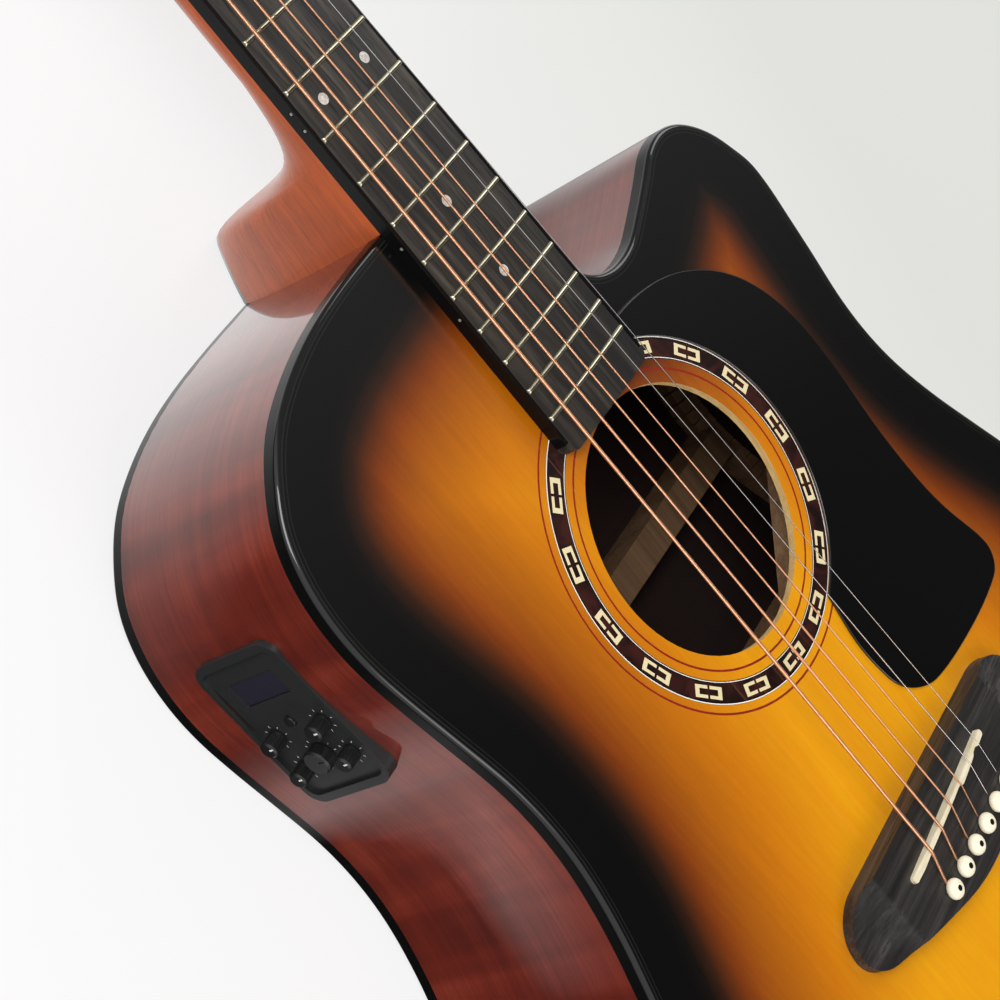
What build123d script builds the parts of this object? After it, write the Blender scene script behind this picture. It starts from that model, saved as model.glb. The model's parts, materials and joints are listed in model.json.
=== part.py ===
"""Acoustic-electric dreadnought guitar with a rounded cutaway, built piece by piece.

Modelled in the soundboard frame: X towards the treble side, Y towards the headstock, Z up out of the
soundboard, origin at the centre of the soundhole on the soundboard's face.  The flat back tapers, so at
the end every piece is turned by the taper and raised, and the guitar lies on its back at Z = 0 with the
origin below the soundhole's centre.
"""
from build123d import *
from functools import cache
from math import atan, atan2, cos, degrees, exp, hypot, pi, radians, sin, sqrt, tan
import os

# ---------------------------------------------------------------- driving sizes, millimetres
SCALE_LENGTH = 648.0          # nut to saddle, before compensation
FRET_COUNT = 20
BODY_FRET = 14                # the neck meets the body at this fret
HOLE_TO_LAST_FRET = 66.15     # soundhole centre to the last fret

BODY_LENGTH = 507.6
UPPER_HALF = 148.0            # half widths of the outline
WAIST_HALF = 136.8
LOWER_HALF = 198.5
DEPTH_NECK = 98.0             # body depth where the neck joins, and at the tail
DEPTH_TAIL = 126.0

TOP_T = 3.0
BACK_T = 3.0
SIDE_T = 2.6
BINDING_W = 2.0
BINDING_H = 6.5
INLAY_T = 1.2                 # depth of purfling and rosette
LINING_W = 5.5
LINING_H = 13.0

HOLE_R = 50.0

NUT_WIDTH = 43.0
BOARD_END_WIDTH = 58.0        # fretboard width at the last fret
BOARD_T = 6.0
BOARD_TAIL = 14.6             # fretboard beyond the last fret
BOARD_BINDING_W = 1.6
BOARD_CORNER_R = 4.5
CROWN_R = 400.0               # radius of fretboard, nut and saddle tops
FRET_W = 2.2
FRET_H = 1.1
FRET_TANG_W = 0.6
FRET_TANG_H = 2.0
NUT_T = 5.4

NECK_DEPTH_NUT = 15.2         # neck wood below the fretboard
NECK_DEPTH_BODY = 19.0
HEEL_REACH = 29.0             # from the body to the front of the heel
HEEL_SWEEP = 36.0             # length over which the heel sweeps into the shaft
HEEL_CAP_T = 3.0
HEEL_RAISE = 0.5              # heel cap above the plane of the back
TENON_W = 18.0
TENON_L = 22.0

HEAD_ANGLE = 13.0
HEAD_LENGTH = 170.0
HEAD_T = 14.5
VENEER_T = 1.5

BRIDGE_FRONT_Y = -129.5
BRIDGE_HALF = 77.0
BRIDGE_BELLY = 44.0           # front edge to the belly's back
BRIDGE_T = 9.0
BRIDGE_TIP_T = 4.2
SADDLE_T = 3.2
SADDLE_TOP = 12.6
SADDLE_TREBLE = (33.0, -140.2)
SADDLE_BASS = (-41.0, -145.0)
SADDLE_BED = 4.2              # slot floor above the soundboard
PICKUP_T = 1.2
PIN_Y = -161.7
PIN_PITCH = 11.2
PIN_HEAD_R = 4.0
PIN_TOP_R = 2.6
PIN_TIP_R = 2.2
PIN_TIP_Z = -14.0
PLATE_T = 2.5

STRING_D = (1.35, 1.07, 0.81, 0.61, 0.41, 0.305)   # bass to treble
STRING_PITCH_NUT = 7.1
STRING_PITCH_SADDLE = 10.8
NUT_STRING_Z = 7.6            # underside of the middle strings in the nut
SLOT_GAP = 0.03               # clearance round a string in its slot
BALL_R = 1.95
BALL_L = 3.8

POST_R = 3.0
POST_X = 23.0
POST_Y = (38.0, 78.0, 118.0)
POST_TOP = 17.0
WRAP_Z = 8.0                  # windings start this high above the headstock face
RUN_GAP = 0.05                # radial clearance of every turning shaft
END_GAP = 0.15                # play at the ends of a turning part
BUSH_R = 5.0
BUSH_HEAD_R = 7.5
BUSH_HEAD_T = 2.4
HOUSING_T = 11.5
HOUSING_WALL = 1.2
GEAR_R = 5.0
GEAR_T = 4.0
GEAR_TEETH = 15
WORM_R = 2.1
WORM_L = 9.0
KEY_SHAFT_R = 1.8
KEY_GAP = 4.0                 # housing to button
BUTTON_L = 15.0
BUTTON_W = 19.0
BUTTON_T = 7.5

PREAMP_Y = 54.1               # centre of the preamp on the bass side
PREAMP_Z = -52.2
PREAMP_TURN = 2.9             # degrees its tail end stands further out than the side
PREAMP_L = 63.5
PREAMP_H = 45.0
PREAMP_R = 7.0
PREAMP_RIM = 4.4              # rim above the chord of the side
PREAMP_FLOOR = 3.0
PREAMP_FLOOR_T = 2.0
PREAMP_LIP = 1.6              # rim beyond the opening cut in the side
PREAMP_DEPTH = 31.0
KNOB_R = 3.3
BIG_KNOB_R = 5.1
KNOB_H = 6.6
BIG_KNOB_H = 4.8
KNOB_SHAFT_R = 1.5
KNOB_PLACES = ((3.0, 13.1), (17.3, 13.1), (3.0, -12.3), (17.3, -12.3))
BIG_KNOB_PLACE = (14.6, 0.2)
BUTTON_PLACE = (-1.0, -0.2)
SWITCH_TRAVEL = 0.8
SCREEN_PLACE = (-16.0, -0.6)
SCREEN_L = 10.0
SCREEN_H = 25.0
SCREEN_CORNER_R = 0.8

JACK_Z = -62.0
JACK_BORE_R = 3.2
JACK_R = 6.0
JACK_INSIDE = 16.0            # jack's barrel beyond the tail block
STRAP_FLANGE_R = 9.0
STRAP_NECK_R = 5.0
STRAP_NECK_L = 9.0

# ---------------------------------------------------------------- sizes worked out from those
SLOPE = (DEPTH_TAIL - DEPTH_NECK) / BODY_LENGTH
TAPER = atan(SLOPE)


def fret_to_nut(n):
    return SCALE_LENGTH * (1 - 2 ** (-n / 12))


NUT_Y = HOLE_TO_LAST_FRET + fret_to_nut(FRET_COUNT)
NECK_END_Y = NUT_Y - fret_to_nut(BODY_FRET)
TAIL_Y = NECK_END_Y - BODY_LENGTH
BOARD_END_Y = HOLE_TO_LAST_FRET - BOARD_TAIL
NUT_BACK_Y = NUT_Y + NUT_T
DEPTH_HOLE = DEPTH_NECK + SLOPE * NECK_END_Y
ROW_HEIGHT = DEPTH_HOLE * cos(TAPER)


def fret_y(n):
    return NUT_Y - fret_to_nut(n)


def board_half(y):
    """Half the fretboard's width at y."""
    share = (NUT_Y - y) / (NUT_Y - HOLE_TO_LAST_FRET)
    return (NUT_WIDTH + (BOARD_END_WIDTH - NUT_WIDTH) * share) / 2


def crown_drop(x):
    """How far a crowned top lies below its middle at x."""
    return CROWN_R - sqrt(CROWN_R ** 2 - x ** 2)


# ---------------------------------------------------------------- outlines as chains of tangent arcs
def unit(heading):
    return Vector(cos(radians(heading)), sin(radians(heading)))


def left_of(v):
    return Vector(-v.Y, v.X)


class Bend:
    """One arc from start, with a tangent there, to end; the sign of radius is + to the left."""

    def __init__(self, start, tangent, end):
        chord = end - start
        side = left_of(tangent)
        self.radius = chord.dot(chord) / (2 * side.dot(chord))
        self.centre = start + side * self.radius
        self.start, self.end = start, end
        first = (start - self.centre) * (1 / self.radius)
        turn = 2 * atan2(side.dot(chord), tangent.dot(chord))
        self.middle = self.centre + first.rotate(Axis.Z, degrees(turn / 2)) * self.radius

    def edge(self, inset):
        """The arc moved to the left of travel by inset."""
        shrink = (self.radius - inset) / self.radius
        points = [self.centre + (p - self.centre) * shrink for p in (self.start, self.middle, self.end)]
        return ThreePointArc(*points)


def bends(stations):
    """Two tangent arcs between each pair of stations (x, y, heading in degrees)."""
    chain = []
    for (x0, y0, h0), (x1, y1, h1) in zip(stations, stations[1:]):
        p, q, t0, t1 = Vector(x0, y0), Vector(x1, y1), unit(h0), unit(h1)
        v, t = q - p, t0 + t1
        spread = 2 * (1 - t0.dot(t1))
        reach = v.dot(v) / (2 * v.dot(t)) if spread < 1e-9 else (
            (-v.dot(t) + sqrt(v.dot(t) ** 2 + spread * v.dot(v))) / spread)
        joint = (p + q + (t0 - t1) * reach) * 0.5
        first = Bend(p, t0, joint)
        at_joint = left_of((joint - first.centre) * (1 / first.radius))
        chain += [first, Bend(joint, at_joint, q)]
    return chain


def body_stations():
    """The body's outer edge, anticlockwise from the hidden corner beside the heel."""
    corner, heel_x = 12.0, 24.5
    up, waist, low = UPPER_HALF, WAIST_HALF, LOWER_HALF
    waist_y, lower_y = -16.0, TAIL_Y + 115.0
    hip_y = waist_y - 54.0
    top = NECK_END_Y
    return [
        (heel_x - corner, top, 180), (-0.33 * up, top - 1.1, 183), (-0.61 * up, top - 7.4, 196),
        (-0.815 * up, top - 21.9, 219), (-0.955 * up, top - 46.7, 246), (-up, top - 80.6, 270),
        (-up + 4, top - 114, 280.5), (-waist, waist_y, 270), (-waist - 10.6, hip_y, 250),
        (-low, lower_y, 270), (-0.646 * low, TAIL_Y + 19.5, 342.7), (0, TAIL_Y, 360),
        (0.646 * low, TAIL_Y + 19.5, 377.3), (low, lower_y, 450), (waist + 14, hip_y, 472.5),
        (waist, waist_y + 4, 450), (waist + 5.2, top - 120.6, 442.4), (up - 3, top - 92.6, 450),
        (up - 8, top - 74.6, 472), (up - 20, top - 58.1, 500), (up - 36, top - 52.1, 540),
        (up - 63, top - 61.6, 563.5), (54, top - 71, 540), (34, top - 61, 482),
        (27, top - 36, 456), (heel_x, top - corner, 450), (heel_x - corner, top, 540),
    ]


BODY_BENDS = bends(body_stations())
LEAD_BENDS = (14, 20)         # the bends from the bass waist to the tail's corner


@cache
def body_face(inset=0.0):
    return make_face([b.edge(inset) for b in BODY_BENDS])


@cache
def back_tool(raise_by=0.0):
    """Everything below the plane that lies raise_by above the back's outer face."""
    plane = Plane(origin=(0, 0, -DEPTH_HOLE), x_dir=(1, 0, 0), z_dir=(0, -SLOPE, 1)).offset(raise_by)
    size = 3 * BODY_LENGTH
    return plane * Box(size, size, DEPTH_TAIL, align=(Align.CENTER, Align.CENTER, Align.MAX))


@cache
def body_prism(inset, top=0.0, raise_by=0.0):
    """The body's outline moved in by inset, from height top down to raise_by above the back."""
    deep = extrude(Pos(0, 0, top) * body_face(inset), -(DEPTH_TAIL + 20))
    return deep - back_tool(raise_by)


@cache
def body_ring(outer, inner, top, height):
    """A flat-bottomed ring that follows the outline."""
    return extrude(Pos(0, 0, top) * (body_face(outer) - body_face(inner)), -height)


def block(x0, x1, y0, y1, z0, z1):
    return Pos((x0 + x1) / 2, (y0 + y1) / 2, (z0 + z1) / 2) * Box(x1 - x0, y1 - y0, z1 - z0)


def disc(radius, z0, z1, x=0.0, y=0.0):
    return Pos(x, y, (z0 + z1) / 2) * Cylinder(radius, z1 - z0)


def group(solids):
    """Separate solids kept apart in one node."""
    flat = []
    for item in solids:
        flat += list(item.solids())
    return Compound(flat)


# ---------------------------------------------------------------- strings, and what they seat on
def string_x(i, pitch):
    return (i - 2.5) * pitch


def saddle_y(x):
    (x1, y1), (x0, y0) = SADDLE_TREBLE, SADDLE_BASS
    return y0 + (y1 - y0) * (x - x0) / (x1 - x0)


HEAD = Plane(origin=(0, NUT_BACK_Y, 0), x_dir=(1, 0, 0),
             z_dir=(0, sin(radians(HEAD_ANGLE)), cos(radians(HEAD_ANGLE))))
# string i is wound on post number i: bass strings on the bass side, nearest first
POSTS = [(-POST_X, POST_Y[0]), (-POST_X, POST_Y[1]), (-POST_X, POST_Y[2]),
         (POST_X, POST_Y[2]), (POST_X, POST_Y[1]), (POST_X, POST_Y[0])]


def string_route(i):
    """Corners of string i: ball, pin hole, saddle, nut, and a little before its post."""
    r = STRING_D[i] / 2
    xp, xs, xn = (string_x(i, p) for p in (PIN_PITCH, STRING_PITCH_SADDLE, STRING_PITCH_NUT))
    y_pin = PIN_Y + PIN_TOP_R
    saddle = Vector(xs, saddle_y(xs), SADDLE_TOP - crown_drop(xs) + r)
    nut = Vector(xn, NUT_Y + 1.2, NUT_STRING_Z - crown_drop(xn) + r)
    post_x, post_y = POSTS[i]
    inner = post_x - (POST_R + r) * (1 if post_x > 0 else -1)
    wrap = HEAD.from_local_coords(Vector(inner, post_y, WRAP_Z + r))
    stop = wrap + (nut - wrap).normalized() * 4.0
    ball_end = Vector(xp, y_pin, -TOP_T - PLATE_T - BALL_R)
    in_hole = Vector(xp, y_pin, BRIDGE_T - 0.6)
    return [ball_end, in_hole, saddle, nut, stop]


@cache
def string_solid(i, extra=0.0):
    route = string_route(i)
    path = FilletPolyline(*route, radius=[1.2, 4.0, 8.0])
    start = Plane(origin=route[0], z_dir=route[1] - route[0])
    return sweep(start * Circle(STRING_D[i] / 2 + extra), path=path)


def ball(i):
    centre = string_route(i)[0]
    return Pos(centre.X, centre.Y, centre.Z) * Rot(0, 90, 0) * Cylinder(BALL_R, BALL_L)


def strings(which):
    pieces = []
    for i in which:
        line = string_solid(i)
        pieces += [line, ball(i) - line]
    return group(pieces)


def string_slots(which=range(6)):
    return [string_solid(i, SLOT_GAP) for i in which]


def pin_places():
    return [(string_x(i, PIN_PITCH), PIN_Y) for i in range(6)]


@cache
def pin_body(x, y):
    shank = Pos(x, y, (BRIDGE_T + PIN_TIP_Z) / 2) * Cone(PIN_TIP_R, PIN_TOP_R, BRIDGE_T - PIN_TIP_Z)
    head = Pos(x, y, BRIDGE_T) * Sphere(PIN_HEAD_R)
    return shank + (head & block(x - 5, x + 5, y - 5, y + 5, BRIDGE_T, BRIDGE_T + PIN_HEAD_R - 0.6))


def bridge_pins():
    pins = []
    for i, (x, y) in enumerate(pin_places()):
        centre = string_route(i)[0]
        room = Pos(centre.X, centre.Y, centre.Z) * Rot(0, 90, 0) * Cylinder(BALL_R + 0.1, 3 * BALL_L)
        pins.append(pin_body(x, y) - string_solid(i, 0.1) - room)
    return group(pins)


def saddle_bar(grow, z0, z1):
    """The saddle's slanted, round-ended plan, grown all round, between two heights."""
    (x1, y1), (x0, y0) = SADDLE_TREBLE, SADDLE_BASS
    length = hypot(x1 - x0, y1 - y0) + 2 * grow
    width = SADDLE_T + 2 * grow
    plan = Pos((x0 + x1) / 2, (y0 + y1) / 2, z0) * Rot(0, 0, degrees(atan2(y1 - y0, x1 - x0)))
    return extrude(plan * SlotOverall(length, width), z1 - z0)


@cache
def crowned(top, below=0.0):
    """A long cylinder whose crown reaches the height top in the middle, or lies below it all over."""
    return Pos(0, NUT_Y / 2, top - CROWN_R) * Rot(90, 0, 0) * Cylinder(CROWN_R - below, 4 * NUT_Y)


def saddle():
    bar = saddle_bar(0, SADDLE_BED + PICKUP_T, SADDLE_TOP) & crowned(SADDLE_TOP)
    return bar - string_slots()


def pickup_strip():
    return saddle_bar(-0.2, SADDLE_BED, SADDLE_BED + PICKUP_T)


@cache
def bridge_blank():
    """Plan outline of the bridge between the soundboard and its top, with tapered wings."""
    half, front = BRIDGE_HALF, BRIDGE_FRONT_Y
    right = bends([(0, front - BRIDGE_BELLY, 0), (48, front - 34.3, 17), (66, front - 29, 14),
                   (half, front - 16.5, 90), (half - 19, front, 180)])
    left = bends([(-half + 19, front, 180), (-half, front - 16.5, 270), (-66, front - 29, 346),
                  (-48, front - 34.3, 343), (0, front - BRIDGE_BELLY, 360)])
    edges = [b.edge(0) for b in right] + [Line((half - 19, front), (-half + 19, front))]
    plan = extrude(make_face(edges + [b.edge(0) for b in left]), BRIDGE_T)
    wing, tip = 52.0, BRIDGE_TIP_T
    sag = tip + (BRIDGE_T - tip) * 0.3
    middle = (wing + half) / 2
    profile = make_face([
        Line((-half, 0), (half, 0)), Line((half, 0), (half, tip)),
        ThreePointArc((half, tip), (middle, sag), (wing, BRIDGE_T)),
        Line((wing, BRIDGE_T), (-wing, BRIDGE_T)),
        ThreePointArc((-wing, BRIDGE_T), (-middle, sag), (-half, tip)), Line((-half, tip), (-half, 0))])
    front_view = Pos(0, front + 1, 0) * Rot(90, 0, 0) * extrude(profile, BRIDGE_BELLY + 2)
    return plan & front_view


def bridge():
    blank = bridge_blank() - saddle_bar(0, SADDLE_BED, SADDLE_TOP)
    return blank - [pin_body(x, y) for x, y in pin_places()] - string_slots() - pickup_lead_hole()


def bridge_plate():
    front, back = BRIDGE_FRONT_Y - 4, BRIDGE_FRONT_Y - 48
    plan = make_face(Polyline((-46, front), (46, front), (72, back), (-72, back), close=True))
    plate = extrude(Pos(0, 0, -TOP_T) * plan, -PLATE_T)
    return plate - [pin_body(x, y) for x, y in pin_places()] - string_slots() - pickup_lead_hole()


# ---------------------------------------------------------------- soundboard and its trim
PURFLING = ((BINDING_W, BINDING_W + 0.7), (BINDING_W + 1.6, BINDING_W + 2.0))
RED_RINGS = ((54.9, 55.7), (70.2, 71.0))
WHITE_RINGS = ((58.9, 59.5), (66.7, 67.4))
BAND = (59.5, 66.7)
MOTIF_R = 63.1
MOTIF_L = 12.6
MOTIF_W = 4.6
MOTIF_LINE = 1.2
MOTIF_GAP = 1.0
MOTIF_PITCH = 22.06
MOTIF_MIDDLE = 265.0
MOTIF_COUNT = 15


def annulus(r_in, r_out, top=0.0, height=INLAY_T):
    return disc(r_out, top - height, top) - disc(r_in, top - height, top)


def purfling():
    return group([body_ring(a, b, 0, INLAY_T) for a, b in PURFLING])


@cache
def motif_brackets():
    """Pairs of facing square brackets set round the rosette's dark band."""
    bracket_l = (MOTIF_L - MOTIF_GAP) / 2
    outer = Pos(0, (MOTIF_GAP + bracket_l) / 2) * Rectangle(MOTIF_W, bracket_l)
    inner = Pos(0, (MOTIF_GAP + bracket_l) / 2 - MOTIF_LINE) * Rectangle(MOTIF_W - 2 * MOTIF_LINE, bracket_l)
    pair = (outer - inner) + Rot(0, 0, 180) * (outer - inner)
    half = (MOTIF_COUNT - 1) // 2
    pieces = []
    for k in range(-half, half + 1):
        place = Rot(0, 0, MOTIF_MIDDLE + k * MOTIF_PITCH) * Pos(MOTIF_R, 0, -INLAY_T)
        pieces += list(extrude(place * pair, INLAY_T).solids())
    return pieces


def rosette():
    motifs = motif_brackets()
    rings = [annulus(a, b) for a, b in RED_RINGS + WHITE_RINGS]
    return group(rings + [annulus(*BAND) - motifs] + motifs)


def soundboard():
    plate = extrude(body_face(BINDING_W), -TOP_T) - disc(HOLE_R, -TOP_T, 0)
    plate -= [body_ring(a, b, 0, INLAY_T) for a, b in PURFLING]
    plate -= [annulus(a, b) for a, b in RED_RINGS + ((WHITE_RINGS[0][0], WHITE_RINGS[1][1]),)]
    return plate - [pin_body(x, y) for x, y in pin_places()] - string_slots() - pickup_lead_hole()


GUARD_T = 1.0
GUARD_GAP = 0.3               # pickguard to fretboard


def pickguard():
    """Teardrop guard that follows the rosette's outer white ring and the fretboard's treble side."""
    ring = WHITE_RINGS[1][1]
    top_y = HOLE_TO_LAST_FRET + 2
    x_top = board_half(top_y) + GUARD_GAP
    x_ring = board_half(60) + GUARD_GAP
    y_ring = sqrt(ring ** 2 - x_ring ** 2)
    foot = radians(-66.8)
    stations = [
        (x_top, top_y, 2), (60, 64.5, -16), (88, 49, -42), (104.5, 23, -73), (108, 0, -90),
        (104.6, -52, -91), (108.6, -92, -74), (112.9, -109, -84), (104, -120.7, -170),
        (80, -122.6, -180), (45, -120, -190), (28.5, -110.5, -228), (22.6, -90, -267),
        (ring * cos(foot), ring * sin(foot), -282),
    ]
    edges = [b.edge(0) for b in bends(stations)]
    edges += [ThreePointArc((ring * cos(foot), ring * sin(foot)), (ring, 0), (x_ring, y_ring)),
              Line((x_ring, y_ring), (x_top, top_y))]
    return extrude(make_face(edges), GUARD_T)


def bindings():
    """Black strips on the body's two outer edges and on both sides of the fretboard."""
    top_strip = body_ring(0, BINDING_W, 0, BINDING_H)
    back_strip = body_prism(0) - body_prism(BINDING_W) - back_keep(BINDING_H)
    return group([top_strip, back_strip] + board_binding())


@cache
def back_keep(raise_by):
    """Everything above the plane that lies raise_by above the back's outer face."""
    plane = Plane(origin=(0, 0, -DEPTH_HOLE), x_dir=(1, 0, 0), z_dir=(0, -SLOPE, 1)).offset(raise_by)
    size = 3 * BODY_LENGTH
    return plane * Box(size, size, 2 * DEPTH_TAIL, align=(Align.CENTER, Align.CENTER, Align.MIN))


# ---------------------------------------------------------------- sides, back, blocks, linings and braces
NECK_BLOCK_L = 36.0
TAIL_BLOCK_L = 20.0
TAIL_BLOCK_HALF = 34.0


@cache
def side_ring():
    ring = body_prism(0, -TOP_T, BACK_T) - body_prism(SIDE_T, -TOP_T, 0)
    ring -= body_ring(0, BINDING_W, 0, BINDING_H)
    return ring - (body_prism(0) - body_prism(BINDING_W) - back_keep(BINDING_H))


def side(sign):
    half = block(0, sign * 2 * LOWER_HALF, 2 * TAIL_Y, 2 * NECK_END_Y, -2 * DEPTH_TAIL, 0) if sign > 0 else \
        block(sign * 2 * LOWER_HALF, 0, 2 * TAIL_Y, 2 * NECK_END_Y, -2 * DEPTH_TAIL, 0)
    wall = (side_ring() & half) - tenon() - jack_hole()
    if sign < 0:
        wall -= preamp_opening()
    return wall


def back_plate():
    return body_prism(BINDING_W) - back_keep(BACK_T)


def inside():
    return body_prism(SIDE_T, -TOP_T, BACK_T)


def neck_block():
    y0 = NECK_END_Y - SIDE_T - NECK_BLOCK_L
    blank = inside() & block(-38, 40, y0, NECK_END_Y, -2 * DEPTH_TAIL, 0)
    return blank - tenon() - neck_bolt_solids()


def tail_block():
    y1 = TAIL_Y + SIDE_T + TAIL_BLOCK_L
    blank = inside() & block(-TAIL_BLOCK_HALF, TAIL_BLOCK_HALF, TAIL_Y, y1, -2 * DEPTH_TAIL, 0)
    return blank - jack_hole()


def lining_room():
    """Where blocks stand and no lining runs."""
    neck_room = block(-38, 40, NECK_END_Y - SIDE_T - NECK_BLOCK_L, NECK_END_Y, -2 * DEPTH_TAIL, 0)
    tail_room = block(-TAIL_BLOCK_HALF, TAIL_BLOCK_HALF, TAIL_Y, TAIL_Y + SIDE_T + TAIL_BLOCK_L,
                      -2 * DEPTH_TAIL, 0)
    return [neck_room, tail_room]


def linings():
    inner = SIDE_T + LINING_W
    top_strip = body_ring(SIDE_T, inner, -TOP_T, LINING_H) - lining_room()
    back_strip = body_prism(SIDE_T, -TOP_T, BACK_T) - body_prism(inner, 0, 0)
    back_strip = back_strip - back_keep(BACK_T + LINING_H) - lining_room()
    return group([top_strip, back_strip])


def bar(x0, y0, x1, y1, width, height, scallop=30.0):
    """A brace under the soundboard with ends that slope up to a thin tip."""
    length = hypot(x1 - x0, y1 - y0)
    tip = 3.0
    profile = make_face(Polyline((0, 0), (length, 0), (length, -tip), (length - scallop, -height),
                                 (scallop, -height), (0, -tip), close=True))
    solid = Pos(0, width / 2, 0) * Rot(90, 0, 0) * extrude(profile, width)
    return Pos(x0, y0, -TOP_T) * Rot(0, 0, degrees(atan2(y1 - y0, x1 - x0))) * solid


X_CROSS_Y = -82.0
X_ANGLE = 49.0
X_W = 8.0
X_H = 15.0


@cache
def x_brace_pair():
    """Two bars halved into each other where they cross."""
    dx, dy = sin(radians(X_ANGLE)), cos(radians(X_ANGLE))
    up, down = 188.0, 215.0
    one = bar(-dx * up, X_CROSS_Y + dy * up, dx * down, X_CROSS_Y - dy * down, X_W, X_H)
    two = bar(dx * up, X_CROSS_Y + dy * up, -dx * down, X_CROSS_Y - dy * down, X_W, X_H)
    room = body_prism(SIDE_T + LINING_W, 0, 0)
    one, two = one & room, two & room
    size = 40
    upper = block(-size, size, X_CROSS_Y - size, X_CROSS_Y + size, -TOP_T - X_H / 2, 0)
    lower = block(-size, size, X_CROSS_Y - size, X_CROSS_Y + size, -2 * X_H, -TOP_T - X_H / 2)
    return [one - (two & upper), two - (one & lower)]


def top_braces():
    """The flat bars above the soundhole, and the tone bars and finger bars beside the X."""
    room = body_prism(SIDE_T + LINING_W, 0, 0)
    crossing = x_brace_pair()
    bars = [bar(-150, 88, 140, 88, 9, 14), bar(-62, 58, 62, 58, 10, 5, 12)]
    bars += [bar(-30, -196, 118, -252, 6, 11), bar(-52, -232, 70, -296, 6, 11)]
    bars += [bar(s * 92, -128, s * 160, -104, 6, 8) for s in (-1, 1)]
    bars += [bar(s * 118, -152, s * 178, -150, 6, 8) for s in (-1, 1)]
    plate = bridge_plate_room()
    clipped = [(b & room) - crossing - plate for b in bars]
    return group([max(c.solids(), key=lambda s: s.volume) for c in clipped])


def bridge_plate_room():
    front, back = BRIDGE_FRONT_Y - 4, BRIDGE_FRONT_Y - 48
    return block(-72, 72, back, front, -TOP_T - PLATE_T, -TOP_T)


def back_braces():
    """Four bars across the inner face of the back."""
    inner = Plane(origin=(0, 0, -DEPTH_HOLE), x_dir=(1, 0, 0), z_dir=(0, -SLOPE, 1)).offset(BACK_T)
    room = body_prism(SIDE_T + LINING_W, 0, 0)
    solids = []
    for y, width, height in ((100, 8, 14), (-32, 14, 14), (-110, 17, 10), (-225, 17, 10)):
        beam = Box(2 * LOWER_HALF, width, height, align=(Align.CENTER, Align.CENTER, Align.MIN))
        solids.append((inner * Pos(0, y, 0) * beam) & room)
    return group([max(s.solids(), key=lambda piece: piece.volume) for s in solids])


# ---------------------------------------------------------------- fretboard
MARKER_R = 2.1
SIDE_DOT_R = 0.9
MARKER_T = 1.0
MARKER_FRETS = ((3, (0,)), (5, (0,)), (7, (0,)), (9, (0,)), (12, (-2, 2)), (15, (0,)), (17, (0,)))


def taper_face(trim, y0, y1):
    """The fretboard's plan with trim taken off each side."""
    return make_face(Polyline((-board_half(y0) + trim, y0), (board_half(y0) - trim, y0),
                              (board_half(y1) - trim, y1), (-board_half(y1) + trim, y1), close=True))


def board_plan(trim):
    plan = taper_face(trim, BOARD_END_Y, NUT_Y)
    low = plan.vertices().group_by(Axis.Y)[0]
    return fillet(low, BOARD_CORNER_R - trim)


@cache
def board_blank(trim):
    return extrude(board_plan(trim), BOARD_T + FRET_H) & crowned(BOARD_T)


@cache
def board_binding():
    """The strips along the two sides, without the strip across the end."""
    ring = board_blank(0) - extrude(board_plan(BOARD_BINDING_W), BOARD_T + FRET_H)
    ring -= block(-100, 100, BOARD_END_Y - 1, BOARD_END_Y + BOARD_CORNER_R, -1, 2 * BOARD_T)
    return [s - side_dots() for s in ring.solids()]


def fret_ring(n):
    """One fret: a crowned bead and its tang, as arcs about the fretboard's crown axis."""
    y = fret_y(n)
    outer = CROWN_R + FRET_H
    bead = make_face([
        ThreePointArc((CROWN_R, y - FRET_W / 2), (outer, y), (CROWN_R, y + FRET_W / 2)),
        Line((CROWN_R, y + FRET_W / 2), (CROWN_R, y - FRET_W / 2))])
    tang = Pos(CROWN_R - FRET_TANG_H / 2, y) * Rectangle(FRET_TANG_H, FRET_TANG_W)
    half = board_half(y) - BOARD_BINDING_W
    swing = degrees(2 * atan2(half, CROWN_R))
    turned = revolve(bead + tang, Axis.Y, swing)
    middle = Pos(0, 0, BOARD_T - CROWN_R) * Rot(0, -90 - swing / 2, 0)
    return middle * turned


def frets():
    return group([fret_ring(n) for n in range(1, FRET_COUNT + 1)])


def marker_places():
    places = []
    for n, columns in MARKER_FRETS:
        y = (fret_y(n) + fret_y(n - 1)) / 2
        pitch = STRING_PITCH_NUT + (STRING_PITCH_SADDLE - STRING_PITCH_NUT) * (NUT_Y - y) / SCALE_LENGTH
        places += [(c * 0.75 * pitch, y) for c in columns]
    return places


def face_dots():
    top = crowned(BOARD_T)
    return [disc(MARKER_R, BOARD_T - MARKER_T, BOARD_T + 1, x, y) & top for x, y in marker_places()]


@cache
def side_dots():
    """Small dots in the bass side's binding, double at the twelfth fret."""
    dots = []
    for n, columns in MARKER_FRETS:
        y = (fret_y(n) + fret_y(n - 1)) / 2
        shifts = (0,) if len(columns) == 1 else (-3.5, 3.5)
        for shift in shifts:
            x = -board_half(y + shift)
            peg = Pos(x, y + shift, BOARD_T * 0.55) * Rot(0, 90, 0) * Cylinder(SIDE_DOT_R, 2 * MARKER_T)
            dots.append(peg & board_blank(0))
    return dots


def fret_markers():
    return group(face_dots() + side_dots())


def fretboard():
    core = board_blank(0) - board_binding() - side_dots()
    slots = [block(-60, 60, fret_y(n) - FRET_TANG_W / 2, fret_y(n) + FRET_TANG_W / 2, 0, 2 * BOARD_T)
             for n in range(1, FRET_COUNT + 1)]
    tang_room = [s - crowned(BOARD_T, FRET_TANG_H) for s in slots]
    return core - tang_room - face_dots()


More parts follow.
